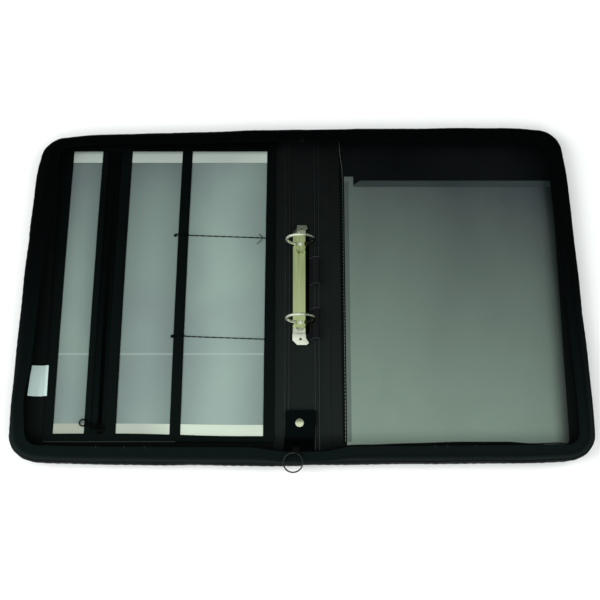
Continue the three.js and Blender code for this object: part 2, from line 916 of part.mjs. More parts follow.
function leftPanelPieces() {
  addPiece(
    leftCover,
    "panel_backing",
    block([panelOuterX, panelTailY, liningTop], [panelInnerX, panelHeadY, panelBackTop]),
    paleCard,
  );
  windowSheet("narrow_window", narrowStart, narrowEnd);
  windowSheet("middle_window", middleStart, middleEnd);
  windowSheet("wide_window", wideStart, wideEnd);
  binding("panel_head_binding", panelOuterX, panelInnerX, windowHeadY, panelHeadY);
  binding("panel_tail_binding", panelOuterX, panelInnerX, panelTailY, windowTailY);
  binding("panel_outer_binding", panelOuterX, narrowStart);
  binding("zip_outer_binding", narrowEnd, zipStart);
  binding("zip_inner_binding", zipEnd, middleStart);
  binding("window_divider", middleEnd, wideStart);
  binding("panel_inner_binding", wideEnd, panelInnerX);
  threadDivider("head_thread_divider", windowHeadY - headThreadInset);
  threadDivider("tail_thread_divider", windowTailY + tailThreadInset);
  addPiece(
    leftCover,
    "bare_label",
    block(
      [labelX - labelWidth / 2, labelY - labelLength / 2, liningTop + seatGap],
      [panelOuterX - seatGap, labelY + labelLength / 2, liningTop + seatGap + labelThickness],
    ),
    whiteLabel,
  );
}

function innerZipPieces() {
  const tape = (name, x0, x1) =>
    addPiece(
      leftCover,
      name,
      block([x0, windowTailY, panelBackTop], [x1, windowHeadY, sheetTop]),
      wovenTape,
    );
  tape("inner_zip_outer_tape", zipStart - bindingLap, chainX - tapeSplit / 2);
  tape("inner_zip_inner_tape", chainX + tapeSplit / 2, zipEnd + bindingLap);
  addPiece(
    leftCover,
    "inner_zip_chain",
    block(
      [chainX - chainWidth / 2, windowTailY, sheetTop],
      [chainX + chainWidth / 2, windowHeadY, sheetTop + chainHeight],
    ),
    nylonCoil,
  );
  const foot = sheetTop + chainHeight + seatGap;
  const top = foot + innerSliderHeight;
  const half = innerSliderLength / 2;
  const body = slab(
    [
      [chainX - innerSliderWidth / 2, innerSliderY + half],
      [chainX - innerSliderWidth / 2, innerSliderY],
      [chainX - innerNeckWidth / 2, innerSliderY - half],
      [chainX + innerNeckWidth / 2, innerSliderY - half],
      [chainX + innerSliderWidth / 2, innerSliderY],
      [chainX + innerSliderWidth / 2, innerSliderY + half],
    ],
    foot,
    top,
  );
  const bailHalf = innerSliderWidth / 2 - innerBailInset;
  const bail = cut(
    block(
      [chainX - bailHalf, innerSliderY - innerBailWidth / 2, top - 0.5],
      [chainX + bailHalf, innerSliderY + innerBailWidth / 2, top + innerBailHeight],
    ),
    block(
      [chainX - bailHalf + innerBailThickness, innerSliderY - innerBailWidth, top],
      [
        chainX + bailHalf - innerBailThickness,
        innerSliderY + innerBailWidth,
        top + innerBailHeight - innerBailThickness,
      ],
    ),
  );
  addPiece(leftCover, "inner_zip_slider", join(body, bail), blackMetal);
  const pull = innerPull();
  pull.rotateY(-pullDroop).rotateZ(pullTurn);
  pull.translate(chainX, innerSliderY, top + pullThickness / 2 + pullLift);
  addPiece(leftCover, "inner_zip_pull", pull, blackMetal);
}

// A flat pull lying towards -X: an eye for the slider's bail, a bar, and a ring for the fingers.
function innerPull() {
  const low = -pullThickness / 2;
  const high = pullThickness / 2;
  const barEnd = -(pullLength - 2 * pullRingRadius + 1);
  const bar = block([barEnd, -pullBarWidth / 2, low], [pullEyeInset, pullBarWidth / 2, high]);
  const eye = block(
    [-pullEyeInset - pullEyeLength, -pullEyeWidth / 2, low - 1],
    [-pullEyeInset, pullEyeWidth / 2, high + 1],
  );
  const ringX = -(pullLength - pullRingRadius);
  const disc = (radius, rise) =>
    new THREE.CylinderGeometry(radius, radius, pullThickness + rise, 20)
      .rotateX(Math.PI / 2)
      .translate(ringX, 0, 0);
  return cut(join(bar, disc(pullRingRadius, 0)), eye, disc(pullRingRadius - pullRingWidth, 2));
}

// Right cover: clear pocket with an ear and a notch at its mouth, and a seam strip beside it
function pocketPieces() {
  const notchX = pocketLeftX + pocketEarWidth;
  const sheet = [
    [pocketLeftX, pocketTailY],
    ...arcPoints(
      pocketRightX - pocketCornerRadius,
      pocketTailY + pocketCornerRadius,
      pocketCornerRadius,
      -Math.PI / 2,
      0,
      6,
    ),
    [pocketRightX, pocketHeadY],
    [notchX + pocketNotchWidth, pocketHeadY],
    [notchX, pocketHeadY - pocketNotchDepth],
    [notchX, pocketEarY],
    [pocketLeftX, pocketEarY],
  ];
  addPiece(rightCover, "clear_pocket", slab(sheet, liningTop, liningTop + sheetThickness), clearVinyl);
  const seamEnd = pocketLeftX - pocketSeamClearance;
  addPiece(
    rightCover,
    "pocket_seam_strip",
    block(
      [seamEnd - pocketSeamWidth, pocketTailY, liningTop],
      [seamEnd, panelHeadY - headBindingWidth, liningTop + pocketSeamHeight],
    ),
    blackVinyl,
  );
}

coverPieces(leftCover, -1, "left_cover");
coverPieces(rightCover, 1, "right_cover");
gussetPieces(leftCover, -1, "left");
gussetPieces(rightCover, 1, "right");
spinePieces();
mechanismPieces();
addPiece(spine, "head_pen_loop", penLoop(headPenLoop), wovenTape);
addPiece(spine, "tail_pen_loop", penLoop(tailPenLoop), wovenTape);
studPieces();
outerSliderPieces();
leftPanelPieces();
innerZipPieces();
pocketPieces();

export default folder;
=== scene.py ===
from math import cos, pi, radians, sin, tau

import bmesh
import bpy
from mathutils import Matrix, Vector, noise


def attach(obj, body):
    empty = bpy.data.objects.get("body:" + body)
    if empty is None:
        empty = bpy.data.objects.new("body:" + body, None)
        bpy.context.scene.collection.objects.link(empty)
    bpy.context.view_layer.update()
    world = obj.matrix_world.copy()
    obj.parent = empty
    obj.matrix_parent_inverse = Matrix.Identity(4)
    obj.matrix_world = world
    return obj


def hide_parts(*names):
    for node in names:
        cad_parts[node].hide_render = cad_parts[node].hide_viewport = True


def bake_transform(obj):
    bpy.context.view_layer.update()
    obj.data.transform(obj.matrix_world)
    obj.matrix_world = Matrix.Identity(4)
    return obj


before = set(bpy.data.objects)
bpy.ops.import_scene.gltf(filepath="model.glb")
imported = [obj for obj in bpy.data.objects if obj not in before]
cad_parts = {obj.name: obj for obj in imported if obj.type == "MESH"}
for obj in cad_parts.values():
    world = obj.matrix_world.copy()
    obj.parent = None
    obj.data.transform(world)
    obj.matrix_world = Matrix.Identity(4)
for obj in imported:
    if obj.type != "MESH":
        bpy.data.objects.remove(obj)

# The looks of a zip-round ring folder that lies open. Sizes are in millimetres until at() turns them
# into metres. +X runs to the right cover, +Y to the head and +Z up.
MM = 0.001
ACROSS, ALONG, UP = Vector((1, 0, 0)), Vector((0, 1, 0)), Vector((0, 0, 1))
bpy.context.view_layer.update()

# Covers, spine and gusset
HALF = 167.75
REACH = 260.0
CORNER, CORNER_STEPS = 22.0, 14
COVER_START = 22.6
COVER_COLUMNS, COVER_ROWS = 26, 38
SPINE_REACH, SEAM_X = 16.5, 14.3
LINING_TOP = 4.0
WRAP_TOP = 3.2
GUSSET_FOOT = 4.3
GUSSET_TOP = 17.8
GUSSET_ROWS, RIDGE = 15, 11
ZIP_WIDTH = 8.8
TAPE_CLIMB = 1.2
COIL_WIDTH = 2.2
HEAD_LEAN, TAIL_LEAN = 15.5, 14.0
FORE_LEAN_HEAD, FORE_LEAN_TAIL = 18.0, 5.0
FORE_BULGE = 12.0
SIDES = {"left": -1, "right": 1}

# Where a few tacks pucker the zip tape at the tail, as distances from the spine's middle; the puckers are short pale
# beads whose paleness is a painted highlight
PUCKERS = {"left": (189.4, 163.4, 144.8), "right": (122.3, 133.4, 159.4)}

# Left panel
PANEL_OUTER, PANEL_INNER = -242.0, -26.0
PANEL_HEAD, PANEL_TAIL = 157.25, -147.75
WINDOW_HEAD, WINDOW_TAIL = 148.25, -140.25
WINDOW_LENGTH = WINDOW_HEAD - WINDOW_TAIL
WINDOWS = {"narrow": (-231.8, -202.3), "middle": (-172.2, -121.1), "wide": (-111.1, -35.0)}
CHAIN_X, CHAIN_ENDS, INNER_SLIDER_Y = -189.3, (-139.75, 147.75), -135.25
SHEET_TOP, BINDING_TOP = 4.9, 6.0
WIDTH_UV = 0.01

# Stitches: pitch, length and radius, where the tab's radius differs from row to row
PANEL_STITCH, SPINE_STITCH, TAB_STITCH = (3.4, 2.5, 0.22), (3.6, 2.7, 0.24), (2.9, 2.1)

# Clear pocket: its seamed side stands a little taller than its mouth
POCKET_SIDE, POCKET_EAR, POCKET_FORE = 42.0, 51.0, 249.0
POCKET_TAIL, POCKET_MOUTH, POCKET_EAR_TOP = -148.75, 116.55, 120.95

# Ring mechanism: the triggers' outlines start at their roots
LEVER_LOW, LEVER_TOP, EYE_RADIUS, EYE_RIM = 7.3, 8.2, 1.05, 1.25
RINGS_X, RINGS_Y, RING_RADIUS = -1.5, 7.95, 13.3
RING_YS = {"tail": -32.05, "head": 47.95}
HOUSING_TOP, HOUSING_HALF, HOUSING_WALL, HOUSING_REACH = 8.0, 8.2, 0.6, 51
TRIGGERS = {
    "head": [(-9, 0), (-8.4, 2.8), (-5.4, 4.8), (-4.9, 8.5), (4.5, 8.5), (4.8, 6.6), (5.9, 5.2), (3.6, 3.2), (3.6, 0)],
    "tail": [(-9.2, 0), (-9.2, 6.6), (-4.7, 11.3), (4.4, 11.3), (6.4, 9.6), (6.2, 8.6), (3.9, 5), (3.4, 0)],
}


def at(x, y, z=0.0):
    return Vector((x, y, z)) * MM


def drift(x, y, z=0.0):
    """A soft random value from about -1 to 1 that changes slowly with place."""
    return noise.noise(Vector((x, y, z)))


def mix(a, b, share):
    return a + (b - a) * share


def bounded(share):
    return min(max(share, 0.0), 1.0)


def soft_step(share):
    share = bounded(share)
    return share * share * (3 - 2 * share)


# Finishes. Shades are in thousandths.
class Nodes:
    """Short ways of adding nodes to one tree."""

    def __init__(self, tree):
        self.tree = tree

    def fill(self, made, values):
        """Sets or links inputs by name, or by number as in i0."""
        for key, value in values.items():
            socket = made.inputs[int(key[1:]) if key[1:].isdigit() else key.replace("_", " ")]
            if isinstance(value, bpy.types.NodeSocket):
                self.tree.links.new(value, socket)
            elif socket.type == "RGBA":
                socket.default_value = (*(part / 1000 for part in value), 1.0)
            else:
                socket.default_value = value

    def add(self, kind, settings=(), **values):
        made = self.tree.nodes.new("ShaderNode" + kind)
        for key, value in dict(settings).items():
            setattr(made, key, value)
        self.fill(made, values)
        return made.outputs

    def use(self, group, **values):
        return self.add("Group", {"node_tree": group}, **values)

    def maths(self, operation, a, b=0.0):
        return self.add("Math", {"operation": operation}, i0=a, i1=b)[0]

    def here(self):
        return self.add("TexCoord")["Object"]

    def axis(self, name):
        return self.add("SeparateXYZ", Vector=self.here())[name]

    def run(self):
        return self.add("UVMap", {"uv_map": "run"})["UV"]

    def noise(self, scale, detail, place=None, **values):
        place = self.here() if place is None else place
        return self.add("TexNoise", Vector=place, Scale=scale, Detail=detail, **values)

    def spread(self, value, start, end, low=0.0, high=1.0, shape="LINEAR"):
        settings = {"interpolation_type": shape}
        return self.add("MapRange", settings, Value=value, From_Min=start, From_Max=end, To_Min=low, To_Max=high)[0]

    def ramp(self, value, start, end, shape="LINEAR"):
        return self.spread(value, start * MM, end * MM, shape=shape)

    def soft_ramp(self, value, start, end):
        return self.ramp(value, start, end, "SMOOTHSTEP")

    def off(self, value, middle):
        """How far a value lies from a middle, either way."""
        return self.maths("ABSOLUTE", self.maths("SUBTRACT", value, middle))

    def swing(self, value, reach):
        """Turns a noise value into a shift to either side."""
        return self.maths("MULTIPLY", self.maths("SUBTRACT", value, 0.5), reach)

    def mixed(self, share, first, second, how="MIX"):
        return self.add("Mix", {"data_type": "RGBA", "blend_type": how}, i0=share, i6=first, i7=second)[2]

    def two_shades(self, share, dark, light, low=0.35, high=0.65):
        return self.mixed(self.spread(share, low, high), dark, light)


class Group(Nodes):
    """A node group that the materials share."""

    def __init__(self, name, **inputs):
        super().__init__(bpy.data.node_groups.new(name, "ShaderNodeTree"))
        for label, value in inputs.items():
            self.socket(label.replace("_", " "), "INPUT").default_value = value
        self.given = self.tree.nodes.new("NodeGroupInput").outputs

    def socket(self, label, way):
        return self.tree.interface.new_socket(name=label, in_out=way, socket_type="NodeSocketFloat")

    def giving(self, **results):
        for label in results:
            self.socket(label, "OUTPUT")
        self.fill(self.tree.nodes.new("NodeGroupOutput"), results)
        return self.tree


def grain_group():
    """Pebbled vinyl: small rounded cells with finer creases, and a slow change of shade."""
    g = Group("vinyl_grain", Cell_Scale=900.0, Shade_Scale=12.0)
    bend = g.noise(420.0, 2.0)["Color"]
    shifted = g.add("Mix", {"data_type": "VECTOR"}, i0=0.0012, i4=g.here(), i5=bend)[1]
    cells = g.add("TexVoronoi", {"feature": "SMOOTH_F1"}, Vector=shifted, Scale=g.given["Cell Scale"])
    height = g.maths("SUBTRACT", 1.0, g.maths("MULTIPLY", cells["Distance"], 1.2))
    return g.giving(Height=height, Shade=g.noise(g.given["Shade Scale"], 3.0, Roughness=0.6)["Fac"])


def weave_group():
    """Cloth of crossing yarns along the run of a tape, read from its own UV map."""
    g = Group("yarn_weave", Warp_Scale=1400.0, Weft_Scale=1400.0)
    parts = g.add("SeparateXYZ", Vector=g.run())
    warp = g.maths("SINE", g.maths("MULTIPLY", parts["X"], g.given["Warp Scale"]))
    weft = g.maths("SINE", g.maths("MULTIPLY", parts["Y"], g.given["Weft Scale"]))
    height = g.spread(g.maths("MULTIPLY", warp, weft), -1.0, 1.0)
    return g.giving(Height=height, Shade=g.noise(900.0, 2.0, g.run())["Fac"])


def dust_group():
    """Fine specks and a few soft smears that lie on every surface."""
    g = Group("dust_and_smears", Speck_Scale=260.0, Amount=0.5)
    dots = g.add("TexVoronoi", Vector=g.here(), Scale=g.given["Speck Scale"], Randomness=1.0)
    near = g.spread(dots["Distance"], 0.03, 0.09, 1.0, 0.0)
    dense = g.spread(g.noise(18.0, 4.0, Roughness=0.7)["Fac"], 0.52, 0.66)
    specks = g.maths("MULTIPLY", g.maths("MULTIPLY", near, dense), g.given["Amount"])
    return g.giving(Specks=specks, Smears=g.noise(7.0, 5.0, Roughness=0.62, Distortion=0.8)["Fac"])


def tail_group():
    """How far a point lies towards the tail, where more of the soft light from above is thrown back."""
    g = Group("towards_the_tail", Head=0.15, Tail=-0.15, Bend=1.0)
    share = g.spread(g.axis("Y"), g.given["Head"], g.given["Tail"])
    return g.giving(Share=g.maths("POWER", share, g.given["Bend"]))


GRAIN, WEAVE, DUST, TAILWARD = grain_group(), weave_group(), dust_group(), tail_group()
METAL_DUST = dict(Amount=0.25, Speck_Scale=420.0)


class Finish(Nodes):
    """A material, and ways of changing its colour after it is made."""

    def __init__(self, name):
        self.made = bpy.data.materials.new(name)
        self.made.use_nodes = True
        super().__init__(self.made.node_tree)
        self.shader = self.tree.nodes["Principled BSDF"]

    def plug(self, **values):
        self.fill(self.shader, values)
        return self

    def dusty(self, colour, dust, dust_shade=(160, 180, 170)):
        self.plug(Base_Color=self.mixed(dust["Specks"], colour, dust_shade))

    def bumped(self, height, strength, distance):
        self.plug(Normal=self.add("Bump", Strength=strength, Distance=distance, Height=height)["Normal"])

    def rough_from(self, share, low, high):
        self.plug(Roughness=self.spread(share, 0.3, 0.7, low, high))

    def turned(self, share, shade, how="MIX"):
        """Turns the colour so far towards another shade."""
        before = self.shader.inputs["Base Color"].links[0].from_socket
        return self.plug(Base_Color=self.mixed(share, before, shade, how))

    def past(self, axis, start, end, shade):
        """Another shade past a place on an axis."""
        return self.turned(self.ramp(self.axis(axis), start, end), shade)

    def painted_wall_reflection(self, start, end):
        """Paints a dark reflection on a clear sheet towards its fore edge, where it mirrors the black wall beside it.
        """
        x = self.maths("ADD", self.axis("X"), self.swing(self.noise(9.0, 1.0)["Fac"], 0.02))
        return self.turned(self.soft_ramp(x, start, end), (8, 11, 11))

    def creased(self, y, width):
        """A pale line across a clear sheet where it once lay folded."""
        off = self.off(self.axis("Y"), y * MM)
        return self.turned(self.spread(off, 0.0, width * MM, 0.35, 0.0), (500, 600, 550))

    def beside_the_spine(self):
        """Lifts the right lining's shade up to the spine's between the fold and the pocket's seam; like the spine's, it
        grows lighter towards the tail as painted light.
        """
        x = self.axis("X")
        near = self.maths("MULTIPLY", self.ramp(x, 42.0, 38.0), self.ramp(x, 0.0, 10.0))
        return self.turned(near, self.mixed(self.use(TAILWARD)["Share"], (2.5, 2.9, 3.1), (10.5, 14.2, 12)))

    def lit_shoulder(self, middle, reach, shade):
        """A soft light along the gusset's shoulder at the tail, uneven as soft vinyl is."""
        across = self.add("SeparateXYZ", Vector=self.run())["X"]
        band = self.soft_ramp(self.off(across, middle * MM), reach, 0.0)
        uneven = self.spread(self.use(DUST)["Smears"], 0.35, 0.65, 0.6, 1.0)
        share = self.maths("MULTIPLY", band, uneven)
        return self.turned(self.maths("MULTIPLY", share, self.use(TAILWARD, Bend=5.0)["Share"]), shade)

    def painted_side_shade(self, middle, most):
        """Paints shade on a window towards both its sides, and tints it in faint patches."""
        across = self.add("SeparateXYZ", Vector=self.run())["X"]
        dim = self.maths("POWER", self.ramp(self.off(across, middle * WIDTH_UV), 0.8, 6.0), 1.3)
        self.turned(self.maths("MULTIPLY", dim, most), (30, 45, 45))
        patch = self.noise(11.0, 1.5, Roughness=0.45, Distortion=0.5)["Fac"]
        return self.turned(1.0, self.two_shades(patch, (930, 915, 945), (1050, 1070, 1045)), "MULTIPLY")


def vinyl(name, dark, light, tail, rough=0.5, gloss=0.05, cell=900.0, depth=0.00012, bend=1.0):
    """Pebbled vinyl: dark and light are its shades at the head; tail is the lighter shade they turn to towards the
    tail, painted light for the soft light from above that is thrown back there.
    """
    f = Finish(name)
    grain, dust = f.use(GRAIN, Cell_Scale=cell), f.use(DUST, Amount=0.12)
    shade = f.two_shades(grain["Shade"], dark, light)
    f.dusty(f.mixed(f.use(TAILWARD, Bend=bend)["Share"], shade, tail), dust, (50, 57, 55))
    f.rough_from(dust["Smears"], rough - 0.07, rough + 0.07)
    f.bumped(grain["Height"], 0.5, depth)
    return f.plug(Specular_IOR_Level=gloss)


def cloth(name, dark, light, tail=None, warp=1400.0, weft=1400.0, depth=0.0002):
    """Woven cloth in two shades of yarn; tail is the shade they turn to towards the tail, painted light for the light
    thrown back there.
    """
    f = Finish(name)
    weave = f.use(WEAVE, Warp_Scale=warp, Weft_Scale=weft)
    shade = f.two_shades(f.maths("MULTIPLY", weave["Height"], weave["Shade"]), dark, light, 0.05, 0.5)
    shade = f.mixed(f.use(TAILWARD, Bend=2.2)["Share"], shade, tail or light)
    f.dusty(shade, f.use(DUST, Amount=0.12), (50, 57, 55))
    f.rough_from(weave["Shade"], 0.72, 0.95)
    f.bumped(weave["Height"], 0.8, depth)
    return f.plug(Specular_IOR_Level=0.02)


def metal(name, dark, light, rough, metallic=1.0, gloss=0.5):
    f = Finish(name)
    dust = f.use(DUST, **METAL_DUST)
    fine = f.noise(260.0, 5.0, Roughness=0.7)["Fac"]
    f.dusty(f.two_shades(dust["Smears"], dark, light), dust)
    f.rough_from(fine, rough * 0.7, rough * 1.3)
    f.bumped(fine, 0.08, 0.0001)
    return f.plug(Metallic=metallic, Specular_IOR_Level=gloss)


def shaded_metal(name, low, high, start, end, rough):
    """Plated wire that mirrors the dark housing low down and the open sky at its top."""
    f = Finish(name)
    dust = f.use(DUST, **METAL_DUST)
    f.dusty(f.mixed(f.soft_ramp(f.axis("Z"), start, end), low, high), dust)
    f.rough_from(dust["Smears"], rough * 0.7, rough * 1.3)
    return f.plug(Metallic=1.0)


def pressed_metal(name):
    """The housing's plate: warm on its back, with a painted dark reflection down its right flank, and painted light
    that pales it towards the tail and whitens it at the tail end.
    """
    f = Finish(name)
    brushed = f.add("Mapping", Vector=f.here(), Scale=(1.0, 0.04, 1.0))[0]
    streak = f.noise(520.0, 3.0, brushed)["Fac"]
    warm = f.two_shades(streak, (560, 640, 300), (700, 790, 400))
    pale = f.mixed(f.ramp(f.axis("Y"), 20.0, -36.0), warm, (780, 870, 460))
    ended = f.mixed(f.soft_ramp(f.axis("Y"), -37.6, -38.8), pale, (920, 960, 800))
    flank = f.soft_ramp(f.axis("X"), RINGS_X + 4.2, RINGS_X + 5.1)
    f.dusty(f.mixed(flank, ended, (8, 12, 4)), f.use(DUST, **METAL_DUST))
    f.rough_from(streak, 0.1, 0.22)
    return f.plug(Metallic=1.0)


def clear_vinyl(name, low, high, along, across, alpha, rough=0.14, cross_share=0.0, power=1.0, cloudy=0.06):
    """Frosted clear sheet whose shade changes along Y and across X as painted reflection, shifted by slow cloudy
    patches that are partly the sheet's own haze and partly painted reflection.
    """
    f = Finish(name)
    streak = f.add("Mapping", Vector=f.here(), Scale=(1.0, 0.35, 1.0))[0]
    cloud = f.noise(11.0, 2.0, streak, Roughness=0.45, Distortion=0.7)["Fac"]
    down = f.maths("POWER", f.ramp(f.maths("ADD", f.axis("Y"), f.swing(cloud, cloudy)), *along), power)
    over = f.maths("MULTIPLY", f.ramp(f.axis("X"), *across), cross_share)
    share = f.maths("ADD", f.maths("MULTIPLY", down, 1.0 - max(cross_share, 0.0)), over)
    dust = f.use(DUST, Amount=0.3, Speck_Scale=180.0)
    f.dusty(f.mixed(f.add("Clamp", Value=share)[0], low, high), dust, (400, 450, 420))
    f.rough_from(dust["Smears"], rough * 0.8, rough * 1.5)
    f.bumped(f.noise(22.0, 1.0)["Fac"], 0.15, 0.002)
    return f.plug(Specular_IOR_Level=0.4, Alpha=alpha)


# Each vinyl, and each cloth given a third shade, turns lighter towards the tail: painted light, not a change in the
# material.
COVER_VINYL = vinyl("cover_vinyl", (0.6, 0.7, 0.8), (1.4, 1.7, 1.8), (4.5, 6, 6), gloss=0.03)
GUSSET_VINYL = vinyl("gusset_vinyl", (0.4, 0.5, 0.6), (1, 1.3, 1.4), (3.5, 6, 6), gloss=0.02, bend=2.4)
GUSSET_VINYL.lit_shoulder(13.0, 1.7, (12.5, 16, 16.2))
# The shoulder ridge's lighter vinyl is a painted highlight along the gusset's shoulder, strongest at the tail.
SHOULDER_HIGHLIGHT_VINYL = vinyl(
    "shoulder_highlight_vinyl", (0.9, 1, 1.1), (1.8, 2.1, 2.2), (5.8, 7.8, 7.8), gloss=0.03, cell=1600.0, bend=3.5
)
LINING_VINYL = vinyl(
    "lining_vinyl", (1.3, 1.8, 2.1), (2.7, 3.3, 3.9), (4.5, 6.5, 6), gloss=0.04, cell=1300.0, depth=0.00006
)
# Painted shadow: the lining darkens towards the tail under the gusset's overhang.
LINING_VINYL.beside_the_spine().past("Y", -138.0, -157.0, (0.2, 0.8, 0.5))
SPINE_VINYL = vinyl("spine_vinyl", (1.6, 1.9, 2), (3.4, 3.8, 4.2), (9.5, 14.2, 12), cell=1000.0)
# Painted shadow: the spine's lining darkens towards the tail under the gusset's overhang.
SPINE_VINYL.past("Y", -137.0, -160.0, (0.4, 1.2, 0.9))
# A lighter copy of the spine vinyl: its lightness is a painted highlight along the seam beads and the tail binding's
# edge.
SEAM_HIGHLIGHT_VINYL = vinyl("seam_highlight_vinyl", (4, 4.4, 5), (8, 9, 9.5), (30, 36, 33), cell=1600.0)
BINDING_VINYL = vinyl(
    "binding_vinyl", (0.4, 0.9, 1), (1.2, 2.1, 2.2), (3, 5.6, 5), gloss=0.02, cell=1500.0, depth=0.00004
)
TAB_VINYL = vinyl(
    "tab_vinyl", (0.6, 1, 0.9), (1, 1.7, 1.6), (1.3, 2.8, 2.6), gloss=0.02, cell=1200.0, depth=0.00006
)
# Painted shade: the strap darkens where it bends down towards its root.
TAB_VINYL.past("Y", -142.6, -145.6, (0.1, 0.8, 0.8))
BACKING_CARD = vinyl(
    "backing_card", (200, 240, 230), (260, 310, 290), (300, 360, 330), 0.8, 0.2, cell=2500.0, depth=0.00002
)
FINE = dict(warp=5200.0, weft=5200.0)
ELASTIC = dict(warp=4200.0, weft=7000.0)
SEWN = dict(warp=3000.0, weft=3000.0)
TAPE_CLOTH = cloth("zip_tape_cloth", (0.3, 0.5, 0.6), (1, 1.4, 1.6), (3.8, 6.8, 6.6), **FINE)
PUCKER_HIGHLIGHT_CLOTH = cloth("pucker_highlight_cloth", (12, 16, 16), (28, 34, 34), **FINE)
ELASTIC_CLOTH = cloth("pen_loop_elastic", (4.4, 4.9, 5.3), (9.5, 10.2, 10.8), **ELASTIC)
# The pen loops' rims: their paler elastic is a painted highlight where the edges catch the light.
ELASTIC_EDGE_HIGHLIGHT = cloth("pen_loop_edge_highlight", (22, 26, 28), (50, 56, 60), **ELASTIC)
LABEL_CLOTH = cloth("label_satin", (460, 580, 555), (580, 725, 695), warp=9000.0, weft=4500.0, depth=0.00005)
THREAD = cloth("sewing_thread", (0.8, 1, 1), (3, 3.6, 3.6), (5, 7, 6.8), **SEWN)
PALE_THREAD = cloth("pale_thread", (30, 36, 36), (80, 90, 88), (260, 300, 280), **SEWN)
COIL_NYLON = metal("coil_nylon", (0.6, 1, 1), (1.8, 2.6, 2.6), 0.6, metallic=0.0, gloss=0.03)
BLACK_LACQUER = metal("black_lacquer", (0.6, 1, 1), (1.4, 2, 2), 0.24, metallic=0.0, gloss=0.05)
RING_LACQUER = metal("ring_lacquer", (4, 5.6, 5.8), (12, 15, 15.5), 0.2, metallic=0.0, gloss=0.3)
NICKEL = metal("nickel_plate", (580, 660, 315), (700, 790, 400), 0.13)
HOUSING_NICKEL = pressed_metal("housing_nickel")
STUD_NICKEL = metal("stud_nickel", (690, 720, 500), (840, 870, 630), 0.16)
# The head lever's nickel is a darker, shaded copy and the tail lever's a paler, lit copy of the same plating, with
# painted shade on the head lever's left ear.
HEAD_NICKEL = metal("head_lever_nickel", (340, 360, 270), (520, 550, 420), 0.16)
HEAD_NICKEL.past("X", -4.6, -5.6, (90, 100, 60))
TAIL_NICKEL = metal("tail_lever_nickel", (680, 710, 580), (800, 830, 700), 0.22, metallic=0.6)
# Lit copy of the nickel for rivet heads and the left ring halves: its brightness is painted light; the shaded copy
# below holds a painted dark reflection low on the right halves.
LIT_NICKEL = metal("lit_nickel", (780, 810, 660), (920, 950, 800), 0.11, metallic=0.7)
SHADED_NICKEL = shaded_metal("shaded_nickel", (20, 22, 15), (860, 900, 720), 19.0, 27.0, 0.11)
# The clear sheets' low and high shades, along Y and across X, are painted reflection.
WINDOW_VINYL = clear_vinyl(
    "window_vinyl",
    (106, 136, 134),
    (315, 415, 374),
    (147.0, -140.0),
    (-160.0, -80.0),
    0.86,
    cross_share=0.36,
    power=0.6,
    cloudy=0.12,
)
WINDOW_VINYL.painted_side_shade(0.44, 0.42).creased(-62.95, 1.4)
ALL_WINDOWS = (-230.0, -40.0)
HEAD_WELD = clear_vinyl(
    "window_head_weld", (340, 390, 360), (380, 440, 400), (148.0, 135.0), ALL_WINDOWS, 0.92, rough=0.3
)
# Painted shade: the head weld darkens beside the head binding.
HEAD_WELD.past("Y", 144.4, 148.2, (160, 190, 170))
TAIL_WELD = clear_vinyl(
    "window_tail_weld", (540, 610, 510), (600, 680, 570), (-130.0, -140.0), ALL_WINDOWS, 0.95, rough=0.3
)
# Painted shade: the tail weld darkens towards the narrower windows.
TAIL_WELD.past("X", -105.0, -150.0, (400, 455, 385)).past("X", -180.0, -210.0, (345, 380, 315))
POCKET_VINYL = clear_vinyl(
    "pocket_vinyl", (34, 44, 48), (215, 290, 235), (168.0, -140.0), (30.0, 250.0), 0.84, rough=0.12, cross_share=-0.22
)
POCKET_VINYL.painted_wall_reflection(232.0, 252.0)
POCKET_HEM = clear_vinyl("pocket_hem", (20, 29, 30), (24, 33, 34), (116.0, 110.0), (50.0, 250.0), 0.8, rough=0.2)
POCKET_WELD = clear_vinyl(
    "pocket_weld", (33, 45, 43), (110, 148, 128), (118.0, -143.0), (40.0, 50.0), 0.92, rough=0.35
)


# Shapes
def formed(bm, across, along, surface, size=(0.01, 0.01), ring=False):
    """A grid that surface(u, v) bends into shape, with a UV map in metres of cloth."""
    uv = bm.loops.layers.uv.get("run") or bm.loops.layers.uv.new("run")
    made = bmesh.ops.create_grid(bm, x_segments=across, y_segments=along, size=1.0)["verts"]
    share = {v: ((v.co.x + 1) / 2, (v.co.y + 1) / 2) for v in made}
    for face in {f for v in made for f in v.link_faces}:
        for loop in face.loops:
            u, v = share[loop.vert]
            loop[uv].uv = (u * size[0], v * size[1])
    for vert, (u, v) in share.items():
        vert.co = surface(u, v)
    if ring:
        bmesh.ops.remove_doubles(bm, verts=made, dist=2e-6)
        made = [v for v in made if v.is_valid]
    return made


def swept(bm, section, places, ring=True, closed=False):
    """Carries a section of [out, up] points through places of (origin, out direction, up direction)."""
    steps = len(places) - 1
    line = section if callable(section) else (lambda k: section)
    count = len(line(0))
    spans = count if ring else count - 1

    def surface(u, v):
        k = round(v * steps)
        origin, out, up = places[k]
        o, h = line(k)[round(u * spans) % count]
        return origin + (out * o + up * h) * MM

    run = sum((places[k + 1][0] - places[k][0]).length for k in range(steps))
    made = formed(bm, spans, steps, surface, (count * MM, run), ring or closed)
    if ring and not closed:
        rims = {e for v in made for e in v.link_edges if e.is_boundary}
        bmesh.ops.holes_fill(bm, edges=list(rims), sides=0)


def path_places(path, up, closed=False):
    """Places along a path, each with its out direction level to up."""
    last = len(path) - 1
    found = []
    for k, point in enumerate(path):
        before = path[(k - 1) % last] if closed else path[max(k - 1, 0)]
        after = path[(k + 1) % last] if closed else path[min(k + 1, last)]
        forward = (after - before).normalized()
        out = forward.cross(up).normalized()
        found.append((point, out, out.cross(forward).normalized()))
    return found


